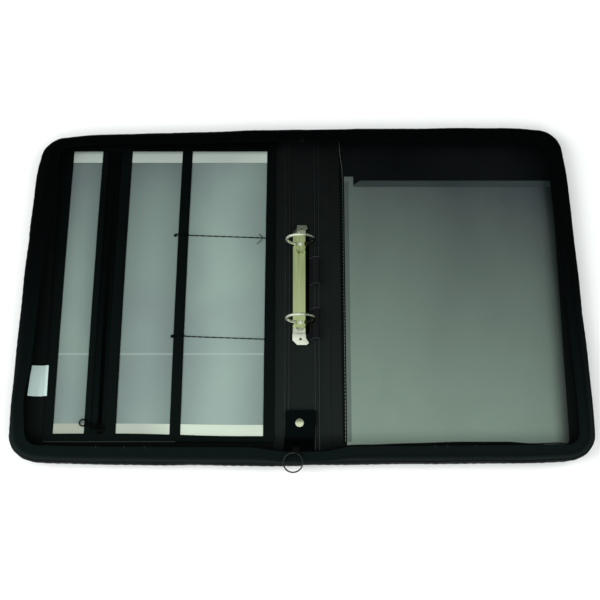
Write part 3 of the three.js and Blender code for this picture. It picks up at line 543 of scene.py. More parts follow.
def tube(bm, path, radius, sides=8, up=UP, closed=False):
    section = [(radius * cos(tau * k / sides), radius * sin(tau * k / sides)) for k in range(sides)]
    swept(bm, section, path_places(path, up, closed), closed=closed)


def smooth_line(points, count):
    """Points spread evenly in step along a soft curve through the given ones."""
    ends = [points[0]] + list(points) + [points[-1]]
    found = []
    for k in range(count + 1):
        t = k / count * (len(points) - 1)
        i = min(int(t), len(points) - 2)
        s = t - i
        found.append(
            tuple(
                0.5 * (2 * q + (r - p) * s + (2 * p - 5 * q + 4 * r - w) * s * s + (3 * q - p - 3 * r + w) * s**3)
                for p, q, r, w in zip(*ends[i : i + 4])
            )
        )
    return found


def turned_points(count, start=0.0, sweep=tau):
    """Directions round a circle, first and last included."""
    return [(cos(start + sweep * k / count), sin(start + sweep * k / count)) for k in range(count + 1)]


def round_edges(bm, chosen, offset, segments):
    bmesh.ops.bevel(
        bm,
        geom=list(chosen),
        offset=offset * MM,
        offset_type="OFFSET",
        segments=segments,
        profile=0.5,
        affect="EDGES",
        clamp_overlap=True,
        material=-1,
    )


def placed_cube(bm, low, high):
    low, high = Vector(low), Vector(high)
    place = Matrix.Translation((high + low) / 2 * MM) @ Matrix.Diagonal((*((high - low) * MM), 1.0))
    return bmesh.ops.create_cube(bm, size=1.0, matrix=place)["verts"]


def soft_block(bm, low, high, edge=0.4, segments=2):
    """A block whose edges are rounded over."""
    made = placed_cube(bm, low, high)
    round_edges(bm, {e for v in made for e in v.link_edges}, edge, segments)


def raised(bm, outline, low, high):
    """A flat outline raised into a plate."""
    verts = [bm.verts.new(at(x, y, low)) for x, y in outline]
    grown = bmesh.ops.extrude_face_region(bm, geom=[bm.faces.new(verts)])["geom"]
    top = [g for g in grown if isinstance(g, bmesh.types.BMVert)]
    bmesh.ops.translate(bm, verts=top, vec=at(0, 0, high - low))
    return {e for v in verts + top for e in v.link_edges}


def lathe(profile, x, y, steps):
    """Turns a profile of (radius, height) about an upright axis."""
    bm = bmesh.new()
    verts = [bm.verts.new(at(r, 0, z)) for r, z in profile]
    edges = [bm.edges.new(pair) for pair in zip(verts, verts[1:])]
    bmesh.ops.spin(
        bm, geom=verts + edges, cent=(0, 0, 0), axis=(0, 0, 1), angle=tau, steps=steps, use_merge=True
    )
    bmesh.ops.remove_doubles(bm, verts=bm.verts, dist=1e-7)
    bmesh.ops.translate(bm, verts=bm.verts, vec=at(x, y))
    return bm


def bead(bm, point, size, along=ACROSS):
    """A small rounded grain, as long, wide and high to each side as its size says."""
    turn = along.to_track_quat("X", "Z").to_matrix().to_4x4()
    place = Matrix.Translation(point) @ turn @ Matrix.Diagonal((*(Vector(size) * MM), 1.0))
    bmesh.ops.create_icosphere(bm, subdivisions=1, radius=1.0, matrix=place)


def grain_stitch(bm, point, along, length, radius):
    bead(bm, point, (length / 2, radius, radius * 0.7), along)


def spaced(path, pitch):
    """Places and directions every pitch millimetres along a path."""
    found, left = [], pitch * MM / 2
    for a, b in zip(path, path[1:]):
        span = (b - a).length
        while left <= span:
            found.append((a.lerp(b, left / span), (b - a).normalized()))
            left += pitch * MM
        left -= span
    return found


def stitched(bm, path, pitch, length, radius):
    for point, along in spaced(path, pitch):
        grain_stitch(bm, point, along, length, radius)


def piece(name, bm, finish, body=None, stands_for=(), sharp=42.0, turn_out=True):
    if turn_out:
        bmesh.ops.recalc_face_normals(bm, faces=bm.faces)
    mesh = bpy.data.meshes.new(name)
    bm.to_mesh(mesh)
    bm.free()
    mesh.shade_smooth()
    mesh.set_sharp_from_angle(angle=radians(sharp))
    mesh.materials.append(finish.made)
    made = bpy.data.objects.new(name, mesh)
    bpy.context.scene.collection.objects.link(made)
    if body:
        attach(made, body)
    if stands_for:
        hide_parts(*stands_for)
    return made


def cut_away(obj, cutter, sharp):
    """Takes the cutter's shape out of a piece."""
    mesh = bpy.data.meshes.new("cutter")
    bmesh.ops.recalc_face_normals(cutter, faces=cutter.faces)
    cutter.to_mesh(mesh)
    cutter.free()
    tool = bpy.data.objects.new("cutter", mesh)
    bpy.context.scene.collection.objects.link(tool)
    made = obj.modifiers.new("cut", "BOOLEAN")
    made.operation = "DIFFERENCE"
    made.solver = "EXACT"
    made.object = tool
    whole = bpy.data.meshes.new_from_object(obj.evaluated_get(bpy.context.evaluated_depsgraph_get()))
    obj.modifiers.clear()
    old = obj.data
    obj.data = whole
    whole.name = old.name
    bpy.data.meshes.remove(old)
    bpy.data.objects.remove(tool)
    whole.shade_smooth()
    whole.set_sharp_from_angle(angle=radians(sharp))


def thick_sheet(bm, thickness):
    """Gives an open sheet its thickness and a closed rim."""
    bmesh.ops.recalc_face_normals(bm, faces=bm.faces)
    bmesh.ops.solidify(bm, geom=list(bm.faces), thickness=thickness * MM)


def sheet_of(across, along, surface, thickness, size=(0.01, 0.01)):
    bm = bmesh.new()
    formed(bm, across, along, surface, size)
    thick_sheet(bm, thickness)
    return bm


def sliced(bm, point, direction, **how):
    geom = list(bm.verts) + list(bm.edges) + list(bm.faces)
    bmesh.ops.bisect_plane(bm, geom=geom, dist=1e-6, plane_co=point, plane_no=direction, **how)


# Covers: a wrap turned round the board, a lining, and the welt where the gusset is sewn on
def eased(x, y):
    """The boards' outer corners have softened and sit a little in, most of all the left one at the head."""
    side = -1 if x < 0 else 1
    share = (abs(x) / REACH) ** 2 * abs(y) / HALF
    worn = soft_step((abs(x) - 205) / 55) * soft_step((abs(y) - 105) / 62)
    if y < 0:
        return x - side * 2.2 * worn, y + 1.8 * share + 1.0 * worn
    inward = (3.6 if side < 0 else 3.0) * worn
    drop = 2.2 * share + 2.2 * soft_step(-x / 130) * y / HALF if side < 0 else 0.0
    return x - side * inward, y - inward - drop


def moved(bm, how):
    """Moves every point of a shape in the plan."""
    for vert in bm.verts:
        vert.co.x, vert.co.y = (v * MM for v in how(vert.co.x / MM, vert.co.y / MM))


def cover_body(side, low, high, inset, outer_round):
    """A slab of the cover's outline with two round fore corners and soft fore edges."""
    bm = bmesh.new()
    start, end, half = COVER_START + min(inset, 0.3), REACH - inset, HALF - inset
    placed_cube(bm, (start, -half, low), (end, half, high))

    def upright(e):
        return abs(e.verts[0].co.z - e.verts[1].co.z) > 1e-5

    def outer_x(e):
        return max(v.co.x for v in e.verts)

    round_edges(bm, [e for e in bm.edges if upright(e) and outer_x(e) > (end - 1) * MM], CORNER - inset, 12)
    low_edges = [e for e in bm.edges if not upright(e) and e.verts[0].co.z < (low + 0.01) * MM]
    round_edges(bm, [e for e in low_edges if outer_x(e) > (start + 1) * MM], outer_round, 3)
    # Rows of vertices, so that the long edges can follow the eased outline
    for k in range(1, COVER_COLUMNS):
        sliced(bm, at(mix(start, end, k / COVER_COLUMNS), 0), ACROSS)
    for k in range(1, COVER_ROWS):
        sliced(bm, at(0, mix(-half, half, k / COVER_ROWS)), ALONG)
    moved(bm, lambda x, y: eased(side * x, y))
    return bm


def edge_walk(side, step=4.0):
    """Stations round a cover's edge from the spine's head to its tail.

    Each has its place, outward direction, lean, bulge, and how far it may stray from the even line.
    """
    cx, cy = REACH - CORNER, HALF - CORNER
    full_lean = TAIL_LEAN + (1.2 if side > 0 else 0.0)
    found = []

    def add(x, y, angle, lean, bulge):
        place = at(*eased(side * x, y))
        found.append((place, Vector((side * cos(angle), sin(angle), 0)), lean, bulge, soft_step(x / 30)))

    def head_bulge(x):
        if side < 0:
            return -1.0 - 0.6 * soft_step(x / 110) - 1.2 * soft_step((x - 100) / 100) - 0.9 * soft_step((x - 170) / 60)
        return -1.0 + 1.2 * soft_step(x / 70) + 0.9 * soft_step((x - 110) / 40) - 0.4 * soft_step((x - 160) / 50)

    def tail_bulge(x):
        return 2.3 - 0.9 * x / cx if side < 0 else 1.7 + 0.6 * (1 - soft_step(x / 70))

    count = round(cx / step)
    for k in range(count):
        x = mix(0.0, cx, k / count)
        add(x, HALF, pi / 2, HEAD_LEAN, head_bulge(x))
    for k in range(CORNER_STEPS + 1):
        share = k / CORNER_STEPS
        angle = pi / 2 * (1 - share)
        lean = mix(HEAD_LEAN, FORE_LEAN_HEAD, share)
        add(cx + CORNER * cos(angle), cy + CORNER * sin(angle), angle, lean, mix(head_bulge(cx), 1.0, share))
    count = round(2 * cy / step)
    for k in range(1, count):
        share = k / count
        y = cy * (1 - 2 * share)
        lean = mix(FORE_LEAN_HEAD, FORE_LEAN_TAIL, share)
        bulge = mix(1.0, FORE_BULGE, share)
        if side < 0:
            lean -= 3.2 * soft_step(1 - abs(y + 112) / 44)
            bulge += 0.5 * sin(pi * min(share * 1.2, 1.0))
        add(REACH, y, 0.0, lean, bulge)
    for k in range(CORNER_STEPS + 1):
        share = k / CORNER_STEPS
        angle = -pi / 2 * share
        lean = mix(FORE_LEAN_TAIL, full_lean, soft_step(share))
        bulge = mix(FORE_BULGE, tail_bulge(cx), soft_step(share))
        add(cx + CORNER * cos(angle), -cy + CORNER * sin(angle), angle, lean, bulge)
    count = round(cx / step)
    for k in range(1, count + 1):
        x = mix(cx, 0.0, k / count)
        add(x, -HALF, -pi / 2, mix(10.0, full_lean, soft_step((x - 15) / 35)), tail_bulge(x))
    return found


def gusset_line(lean, bulge, s, side, free):
    """The soft wall from the welt up to the zip tape, with puckers and slow waves at distance s."""
    reach = lean - ZIP_WIDTH
    heights = [
        (-1.0, 0.5),
        (0.6 * bulge + 0.4, 2.7),
        (bulge + 0.2, 5.7),
        (bulge, 9.6),
        (mix(bulge - 0.4, -reach, 0.16), 11.9),
        (-reach, GUSSET_TOP - GUSSET_FOOT),
    ]
    found = []
    for k, (out, high) in enumerate(smooth_line([(o, GUSSET_FOOT + h) for o, h in heights], GUSSET_ROWS)):
        share = k / GUSSET_ROWS
        belly = sin(pi * share) * free
        pucker = 0.35 * sin(tau * s / 9.0 + 3 * drift(s / 40, side, 3)) * (1 - share) ** 2 * share * 4 * free
        wave = 0.8 * drift(s / 38, share * 1.3, side * 5) * belly
        crease = -0.9 * max(0.0, drift(s / 13, share * 0.8, side * 9 + 4) - 0.28) * belly
        found.append((out + pucker + wave + crease, high + 0.4 * drift(s / 30, side, 17) * belly))
    return found


def build_cover(name, side):
    body = f"{name}_cover"
    wrap = cover_body(side, 0.0, WRAP_TOP, 0.0, 1.1)
    hidden = (f"{name}_cover_outer_skin", f"{name}_cover_board")
    piece(f"{name}_cover_wrap", wrap, COVER_VINYL, body, hidden)
    lining = cover_body(side, WRAP_TOP, LINING_TOP, 0.6, 0.1)
    piece(f"{name}_cover_inner_lining", lining, LINING_VINYL, body, (f"{name}_cover_lining",))

    walk = edge_walk(side)
    lengths = [0.0]
    for a, b in zip(walk, walk[1:]):
        lengths.append(lengths[-1] + (b[0] - a[0]).length / MM)
    lines = [gusset_line(lean, bulge, s, side, free) for (_, _, lean, bulge, free), s in zip(walk, lengths)]
    lifts = [0.35 * drift(s / 45, side * 2, 8) * free for (*_, free), s in zip(walk, lengths)]
    places = [(p, out, UP) for p, out, *_ in walk]

    def dressed(label, bm, finish, stands_for, sharp=42.0):
        made = piece(label, bm, finish, None, stands_for, sharp=sharp)
        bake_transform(made)

    def beside(offset):
        """A path along the edge; offset(k) says how far out and how high it runs at each station."""
        path = []
        for k, (p, out, *_) in enumerate(walk):
            o, h = offset(k)
            path.append(p + out * o * MM + at(0, 0, h))
        return path

    gusset = bmesh.new()
    swept(gusset, lambda k: lines[k], places, ring=False)
    thick_sheet(gusset, 0.9)
    end = "head_bellows" if side < 0 else "tail_bellows"
    dressed(f"{name}_soft_gusset", gusset, GUSSET_VINYL, (f"{name}_gusset", end), 60)

    welt = bmesh.new()
    tube(welt, beside(lambda k: (-0.4, GUSSET_FOOT + 0.2)), 1.25, 10)
    dressed(f"{name}_welt", welt, COVER_VINYL, ())

    # A soft ridge at the wall's shoulder, coloured as a painted highlight.
    ridge = bmesh.new()
    tube(ridge, beside(lambda k: (lines[k][RIDGE][0] - 0.3, lines[k][RIDGE][1] + 0.15)), 0.95, 10)
    dressed(f"{name}_gusset_ridge", ridge, SHOULDER_HIGHLIGHT_VINYL, ())

    def tape_line(k):
        lean, lift = walk[k][2], lifts[k]
        outer, inner = -(lean - ZIP_WIDTH) + 1.2, -lean + COIL_WIDTH - 0.2
        return [
            (outer, GUSSET_TOP + 0.5),
            (mix(outer, inner, 0.35), GUSSET_TOP + 0.62 + lift * 0.4),
            (mix(outer, inner, 0.7), GUSSET_TOP + 0.9 + lift * 0.8),
            (inner, GUSSET_TOP + TAPE_CLIMB + lift),
        ]

    tape = bmesh.new()
    swept(tape, tape_line, places, ring=False)
    thick_sheet(tape, 0.5)
    dressed(f"{name}_woven_tape", tape, TAPE_CLOTH, (f"{name}_zip_tape",), 60)

    coil = bmesh.new()
    coil_path = beside(lambda k: (-walk[k][2] + COIL_WIDTH / 2, GUSSET_TOP + TAPE_CLIMB + lifts[k]))
    for point, along in spaced(coil_path, 1.7):
        bead(coil, point, (0.62, COIL_WIDTH / 2, 0.85), along)
    tube(coil, [p + at(0, 0, 0.1) for p in coil_path], 0.45, 6)
    dressed(f"{name}_coil_teeth", coil, COIL_NYLON, (f"{name}_zip_coil",))

    rows = bmesh.new()
    for row, out_by, raise_by, pitch in ((2, 0.5, 0.3, 3.2), (14, 0.1, 0.55, 3.0)):
        path = beside(lambda k: (lines[k][row][0] + out_by, lines[k][row][1] + raise_by))
        stitched(rows, path, pitch, 2.4, 0.26)
    dressed(f"{name}_gusset_stitches", rows, THREAD, ())

    # Short pale beads at the puckers; their paleness is a painted highlight.
    tacks = bmesh.new()
    for x in PUCKERS[name]:
        p, out, lean, *_ = min(walk, key=lambda station: (station[0] - at(side * x, -HALF)).length)
        middle = Vector((side * x * MM, p.y, 0)) + out * -(lean - 2.6) * MM + at(0, 0, GUSSET_TOP + 1.95)
        grain_stitch(tacks, middle, ALONG, 3.4, 0.3)
    dressed(f"{name}_tape_tack_highlights", tacks, PUCKER_HIGHLIGHT_CLOTH, ())


for cover_name, cover_side in SIDES.items():
    build_cover(cover_name, cover_side)


# Spine: wrap, lining, seam strips, and the soft skins that lie in the folds between spine and covers
def flat_run(y0, y1, step, x=0.0, z=0.0):
    count = max(2, round(abs(y1 - y0) / step))
    return [at(x, mix(y0, y1, k / count), z) for k in range(count + 1)]


def strip_along(start, end, width, top, edge=0.4, crown=0.1, low=GUSSET_FOOT - 0.2, waver=0.12, step=6.0):
    """A sewn strip with rolled edges and a faint wander, from one point of the plan to another."""
    half, rolled = width / 2, edge * 0.35
    right = [(half, top - edge), (half - rolled, top - edge * 0.3), (half - edge, top), (half * 0.4, top + crown)]
    section = [(-half, low), (half, low), *right, *((-x, z) for x, z in reversed(right))]
    a, b = Vector((*start, 0.0)), Vector((*end, 0.0))
    count = max(2, round((b - a).length / step))
    out = (b - a).normalized().cross(UP)
    places = []
    for k in range(count + 1):
        p = a.lerp(b, k / count)
        side = waver * drift(p.x / 30, p.y / 30, 2.0) if 0 < k < count else 0.0
        places.append(((p + out * side) * MM, out, UP))
    bm = bmesh.new()
    swept(bm, section, places)
    return bm


def build_spine():
    wrap = bmesh.new()
    soft_block(wrap, (-SPINE_REACH, -HALF, 0.0), (SPINE_REACH, HALF, WRAP_TOP), 0.9, 3)
    piece("spine_wrap", wrap, COVER_VINYL, "spine", ("spine_outer_skin", "spine_board"))

    def lining_surface(u, v):
        x, y = mix(-16.0, 16.0, u), mix(-166.9, 166.9, v)
        return at(x, y, LINING_TOP - 0.08 + 0.1 * drift(x / 12, y / 30))

    lining = sheet_of(10, 84, lining_surface, 0.6)
    piece("spine_inner_lining", lining, SPINE_VINYL, "spine", ("spine_lining",))
    for name, side in SIDES.items():
        ends = (side * SEAM_X, -165.2), (side * SEAM_X, 165.2)
        strip = strip_along(*ends, 4.0, LINING_TOP + 0.65, 0.35, low=LINING_TOP)
        piece(f"{name}_seam_strip", strip, SPINE_VINYL, "spine", (f"{name}_spine_seam_strip",))
        beads = bmesh.new()
        for off in (-1.9, 1.9):
            tube(beads, flat_run(-165, 165, 6, side * SEAM_X + off, LINING_TOP + 0.55), 0.46, 8)
        piece(f"{name}_seam_beads", beads, SEAM_HIGHLIGHT_VINYL, "spine", ())

        def fold_surface(u, v):
            x, y = mix(16.1, 26.6, u), mix(-167.0, 167.0, v)
            dip = 0.75 * sin(pi * u) ** 2
            return at(side * x, y, LINING_TOP + 0.42 - dip + 0.12 * drift(x / 9, y / 22, side))

        made = piece(f"{name}_fold_lining", sheet_of(14, 84, fold_surface, 0.5), SPINE_VINYL)
        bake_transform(made)

        def back_surface(u, v):
            return at(side * mix(15.5, 27.5, u), mix(-166.9, 166.9, v), 0.75 + 0.35 * sin(pi * u) ** 2)

        made = piece(f"{name}_fold_back", sheet_of(12, 84, back_surface, 0.7), COVER_VINYL)
        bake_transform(made)
    rows = bmesh.new()
    for x in (-15.4, -13.2, 13.2, 15.4):
        stitched(rows, flat_run(-163, 163, 20, x, LINING_TOP + 0.78), *SPINE_STITCH)
    piece("spine_stitches", rows, THREAD, "spine", ())
    stop = bmesh.new()
    soft_block(stop, (-2.3, 151.1, 19.25), (2.3, 155.4, 20.9), 0.5, 3)
    piece("zip_end_clip", stop, BLACK_LACQUER, "spine", ("zip_end_stop",))


build_spine()


# Left panel: card windows, sewn bindings, the inner zip, thread dividers and the bare label
def settled(x, y):
    """The windows and the bindings between them sit a little askew; the panel's outer edges don't."""
    along = (y + 132) / 265
    lean = -2.0 + 3.7 * along - 2.4 * along * (1 - along)
    own = mix(1.2, -0.6, bounded((x + 232) / 116))
    shift = lean * mix(1.0, 0.4, soft_step((x + 116) / 81)) + own
    held = soft_step((x + 242) / 8) * soft_step((-26 - x) / 7)
    drop = 2.45 * soft_step((x + 165) / 110) * soft_step((-120 - y) / 20) * soft_step((y + 148) / 5)
    return x + shift * held, y - drop


def settled_piece(name, bm, finish, stands_for):
    moved(bm, settled)
    piece(name, bm, finish, "left_cover", stands_for)


def window_sheet(name, x0, x1):
    def surface_at(x, y):
        belly = sin(pi * bounded((x - x0) / (x1 - x0))) * sin(pi * bounded((y - WINDOW_TAIL) / WINDOW_LENGTH)) ** 0.3
        return at(x, y, SHEET_TOP - 0.05 + 0.45 * belly + 0.3 * belly * drift(x / 26, y / 45, x0))

    def surface(u, v):
        return surface_at(mix(x0 - 1.6, x1 + 1.6, u), mix(WINDOW_TAIL - 1.6, WINDOW_HEAD + 1.6, v))

    sheet = sheet_of(16, 72, surface, 0.3)
    settled_piece(f"{name}_clear_sheet", sheet, WINDOW_VINYL, (f"{name}_window",))
    for end, low, high, finish in (
        ("head", 135.65, WINDOW_HEAD + 0.5, HEAD_WELD),
        ("tail", WINDOW_TAIL - 0.5, -130.35, TAIL_WELD),
    ):

        def weld_surface(u, v):
            return surface_at(mix(x0 - 0.6, x1 + 0.6, u), mix(low, high, v)) + at(0, 0, 0.3)

        settled_piece(f"{name}_{end}_weld", sheet_of(16, 6, weld_surface, 0.25), finish, ())


def build_bindings():
    rows = bmesh.new()
    narrow, middle, wide = WINDOWS.values()
    for name, x0, x1 in (
        ("panel_outer_binding", PANEL_OUTER, narrow[0]),
        ("zip_outer_binding", narrow[1], -196.0),
        ("zip_inner_binding", -182.6, middle[0]),
        ("window_divider", middle[1], wide[0]),
        ("panel_inner_binding", wide[1], PANEL_INNER),
    ):
        x = (x0 + x1) / 2
        ends = (x, WINDOW_TAIL - 0.6), (x, WINDOW_HEAD + 0.6)
        strip = strip_along(*ends, x1 - x0 + 0.1, BINDING_TOP - 0.15)
        settled_piece(f"sewn_{name}", strip, BINDING_VINYL, (name,))
        for x in (x0 + 1.3, x1 - 1.3):
            stitched(rows, flat_run(WINDOW_TAIL + 1, WINDOW_HEAD - 1, 20, x, BINDING_TOP), *PANEL_STITCH)
    for name, y0, y1 in (
        ("panel_tail_binding", PANEL_TAIL, WINDOW_TAIL),
        ("panel_head_binding", WINDOW_HEAD, PANEL_HEAD),
    ):
        y = (y0 + y1) / 2
        ends = (PANEL_OUTER - 0.4, y), (PANEL_INNER + 0.4, y)
        strip = strip_along(*ends, y1 - y0 + 0.7, BINDING_TOP - 0.1)
        settled_piece(f"sewn_{name}", strip, BINDING_VINYL, (name,))
        for y in (y0 + 1.4, y1 - 1.4):
            run = [at(mix(PANEL_OUTER + 2, PANEL_INNER - 2, k / 12), y, BINDING_TOP + 0.04) for k in range(13)]
            stitched(rows, run, *PANEL_STITCH)
    settled_piece("panel_stitches", rows, THREAD, ())
    # A bead along the tail binding's lower edge, lighter as a painted highlight.
    rolled = bmesh.new()
    run = [at(mix(PANEL_OUTER + 0.5, -118.0, k / 24), PANEL_TAIL + 0.1, BINDING_TOP - 0.35) for k in range(25)]
    tube(rolled, run, 0.6, 8)
    piece("tail_binding_highlight", rolled, SEAM_HIGHLIGHT_VINYL, "left_cover", ())


def slider_plate(bm, x, y, half_width, half_neck, half_length, low, high):
    """One plate of a zip slider, waisted at the closed end."""
    right = [
        (half_width * 0.8, half_length),
        (half_width, half_length * 0.75),
        (half_width, 0.1),
        (half_neck, -half_length * 0.8),
        (half_neck * 0.7, -half_length),
    ]
    outline = [*right, *((-a, b) for a, b in reversed(right))]
    round_edges(bm, raised(bm, [(x + a, y + b) for a, b in outline], low, high), 0.35, 3)


def bar(bm, path, half, nose, rise, up=UP):
    """A flat bar with blunt sides, carried along a path."""
    section = [(-half, -rise), (half, -rise), (nose, 0), (half, rise), (-half, rise), (-nose, 0)]
    swept(bm, section, path_places(path, up))


def build_inner_zip():
    for name, x0, x1 in (("outer", -200.2, -189.15), ("inner", -189.45, -178.2)):

        def surface(u, v):
            near = u if name == "outer" else 1 - u
            return at(mix(x0, x1, u), mix(WINDOW_TAIL, WINDOW_HEAD, v), SHEET_TOP - 0.1 - 0.05 * near)

        tape = sheet_of(6, 60, surface, 0.35, (8.4 * MM, WINDOW_LENGTH * MM))
        piece(f"inner_zip_{name}_cloth", tape, TAPE_CLOTH, "left_cover", (f"inner_zip_{name}_tape",))
    chain = bmesh.new()
    for side in (-1, 1):
        shift = at(0, 0.75 if side > 0 else 0)
        for point, _ in spaced(flat_run(*CHAIN_ENDS, 20, CHAIN_X + side * 0.85, SHEET_TOP + 0.7), 1.5):
            bead(chain, point + shift, (1.05, 0.52, 0.68))
        tube(chain, flat_run(*CHAIN_ENDS, 20, CHAIN_X + side * 1.3, SHEET_TOP + 0.55), 0.38, 6)
    piece("inner_zip_teeth", chain, COIL_NYLON, "left_cover", ("inner_zip_chain",))

    slider = bmesh.new()
    slider_plate(slider, CHAIN_X, INNER_SLIDER_Y, 3.0, 1.8, 3.8, 6.65, 8.8)
    arch = smooth_line([(-2.4, 8.4), (-2.45, 10.4), (-1.6, 11.55), (1.6, 11.55), (2.45, 10.4), (2.4, 8.4)], 24)
    bar(slider, [at(CHAIN_X + x, INNER_SLIDER_Y, z) for x, z in arch], 0.85, 0.95, 0.35, Vector((0, 1, 0.001)))
    piece("inner_slider_body", slider, BLACK_LACQUER, "inner_slider", ("inner_zip_slider",))

    pull = bmesh.new()
    tube(pull, [at(-2.1 + 2.09 * c, 1.9 * s) for c, s in turned_points(40)], 0.42, 10, closed=True)
    for steps in ((-3.9, -5.5, -7.2, -9.0), (-8.6, -11.0, -13.5)):
        bar(pull, [at(x, 0, 0) for x in steps], 1.4, 1.6, 0.35)
    tube(pull, [at(-16.7 + 3.2 * c, 3.2 * s) for c, s in turned_points(48)], 0.62, 12, closed=True)
    turn = Matrix.Rotation(radians(-19), 4, "Z") @ Matrix.Rotation(radians(-10.5), 4, "Y")
    place = Matrix.Translation(at(CHAIN_X, INNER_SLIDER_Y, 10.1)) @ turn
    bmesh.ops.transform(pull, matrix=place, verts=pull.verts)
    piece("inner_pull_ring", pull, BLACK_LACQUER, "inner_pull", ("inner_zip_pull",))


def build_threads():
    for name, y, ends in (("head", 55.75, True), ("tail", -47.55, False)):
        slope = 2.2
        route = smooth_line(
            [
                (-124.2, y + slope, 6.1),
                (-120.6, y + slope, 6.75),
                (-112.1, y + slope * 0.9, 6.75),
                (-108.1, y + slope * 0.8, 5.95),
                (-73.0, y + 0.4, 5.9),
                (-38.0, y - slope * 0.4, 5.95),
                (-34.9, y - slope * 0.45, 6.2),
            ],
            126,
        )
        cord = bmesh.new()
        # Two fine strands laid round each other
        for phase in (0.0, pi):
            turns = [k * 0.85 + phase for k in range(len(route))]
            strand = [at(x, y + 0.26 * cos(a), z + 0.26 * sin(a)) for (x, y, z), a in zip(route, turns)]
            tube(cord, strand, 0.3, 6)
        for k, (dx, dy) in enumerate(((0.0, 0.0), (0.9, 0.5), (0.3, -0.8))):
            x0, y0 = -124.5 + dx, y + slope + dy
            rises = [6.1 + 0.3 * sin(tau * j / 8 + k) for j in range(17)]
            knot = [at(x0 + 0.9 * c, y0 + 0.7 * s, z) for (c, s), z in zip(turned_points(16), rises)]
            tube(cord, knot, 0.36, 6, closed=True)
        if ends:
            for x1, y1 in ((-42.2, 58.5), (-44.2, 48.7)):
                bend = mix(-39.0, x1, 0.35), mix(y - 1, y1, 0.55), 6.5
                loose = smooth_line([(-39.0, y - 0.9, 6.1), bend, (x1, y1, 6.0)], 14)
                tube(cord, [at(*p) for p in loose], 0.28, 6)
        piece(f"{name}_divider_thread", cord, THREAD, "left_cover", (f"{name}_thread_divider",))


def build_label():
    def surface(u, v):
        x, y = mix(mix(-258.2, -256.4, v), -240.2, u), mix(-104.15, -74.35, v)
        lift = 1.2 * max(0.0, (-250 - x) / 5) ** 2 + 1.62 * soft_step((x + 245.5) / 3.2)
        return at(x, y, 4.55 + lift + 0.12 * drift(x / 6, y / 9))

    label = sheet_of(18, 24, surface, 0.25, (18 * MM, 29.8 * MM))
    made = piece("bare_woven_label", label, LABEL_CLOTH, "left_cover", ("bare_label",))


for window_name, window_sides in WINDOWS.items():
    window_sheet(window_name, *window_sides)
build_bindings()
build_inner_zip()
build_threads()
build_label()


# Ring mechanism
def refinished(name, finish):
    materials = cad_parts[name].data.materials
    materials.clear()
    materials.append(finish.made)


def dome(x):
    """Height of the housing's rounded back at x from its middle."""
    return GUSSET_FOOT + (HOUSING_TOP - GUSSET_FOOT) * max(0.0, 1 - abs(x / HOUSING_HALF) ** 2.6) ** 0.5


def arch_section():
    """The rounded back of the housing, closed into a sheet of even wall."""
    outer = [(-HOUSING_HALF * c, dome(HOUSING_HALF * c)) for c, _ in turned_points(32, 0.0, pi)]
    slim = (HOUSING_HALF - HOUSING_WALL) / HOUSING_HALF
    low = 1 - HOUSING_WALL / (HOUSING_TOP - GUSSET_FOOT)
    return outer + [(x * slim, mix(GUSSET_FOOT, z, low)) for x, z in outer[::-1]]


def build_housing():
    shell = bmesh.new()
    ends = flat_run(RINGS_Y - HOUSING_REACH, RINGS_Y + HOUSING_REACH, 8, RINGS_X, 0)
    swept(shell, arch_section(), [(p, ACROSS, UP) for p in ends])
    housing = piece("housing_shell", shell, HOUSING_NICKEL, None, (), sharp=30)
    for y in RING_YS.values():
        slots = bmesh.new()
        for side in (-1, 1):
            near, far = RINGS_X + side * 3.3, RINGS_X + side * 7.6
            soft_block(slots, (min(near, far), y - 2.05, 3.0), (max(near, far), y + 2.05, 9.5), 0.8, 3)
        cut_away(housing, slots, 30)
    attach(housing, "spine")
    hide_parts("ring_housing")
    pressed = bmesh.new()
    for y in RING_YS.values():
        for start in (radians(34), radians(214)):
            turns = [(4.4 * c, 4.4 * s) for c, s in turned_points(20, start, radians(112))]
            tube(pressed, [at(RINGS_X + a, y + b, dome(a) + 0.02) for a, b in turns], 0.28, 8)
    piece("housing_pressed_beads", pressed, NICKEL, "spine", ())


def build_ring(end, y):
    profile = [(0, 4), (1.2, 4), (1.2, 8), (2, 8), (2.05, 8.2), (1.8, 8.55), (1.2, 8.75), (0.5, 8.65), (0, 8.6)]
    rivet = lathe(profile, RINGS_X, y, 32)
    piece(f"{end}_rivet_head", rivet, LIT_NICKEL, "spine", (f"{end}_rivet",))
    for name, side in SIDES.items():

        def on_ring(a):
            return at(RINGS_X + side * RING_RADIUS * sin(a), y, 20.5 + RING_RADIUS * cos(a))

        half = bmesh.new()
        path = [on_ring(mix(0.1 / RING_RADIUS, pi - 0.40, k / 36)) for k in range(37)]
        path += [at(RINGS_X + side * (5.2 + o), y, z) for o, z in ((0.02, 7.7), (-0.1, 7.1), (-0.2, 6.6))]
        tube(half, path, 1.35, 20, up=ALONG)
        tube(half, [on_ring(a) for a in (0.02, 0.05, 0.09, 0.13)], 1.42, 20, up=ALONG)
        # The right halves carry a painted dark reflection low down, the left halves the lit copy.
        finish = SHADED_NICKEL if side > 0 else LIT_NICKEL
        stands_for = (f"{end}_ring_{name}_half",)
        piece(f"{end}_ring_{name}_arc", half, finish, f"{name}_ring_leaf", stands_for, sharp=50)


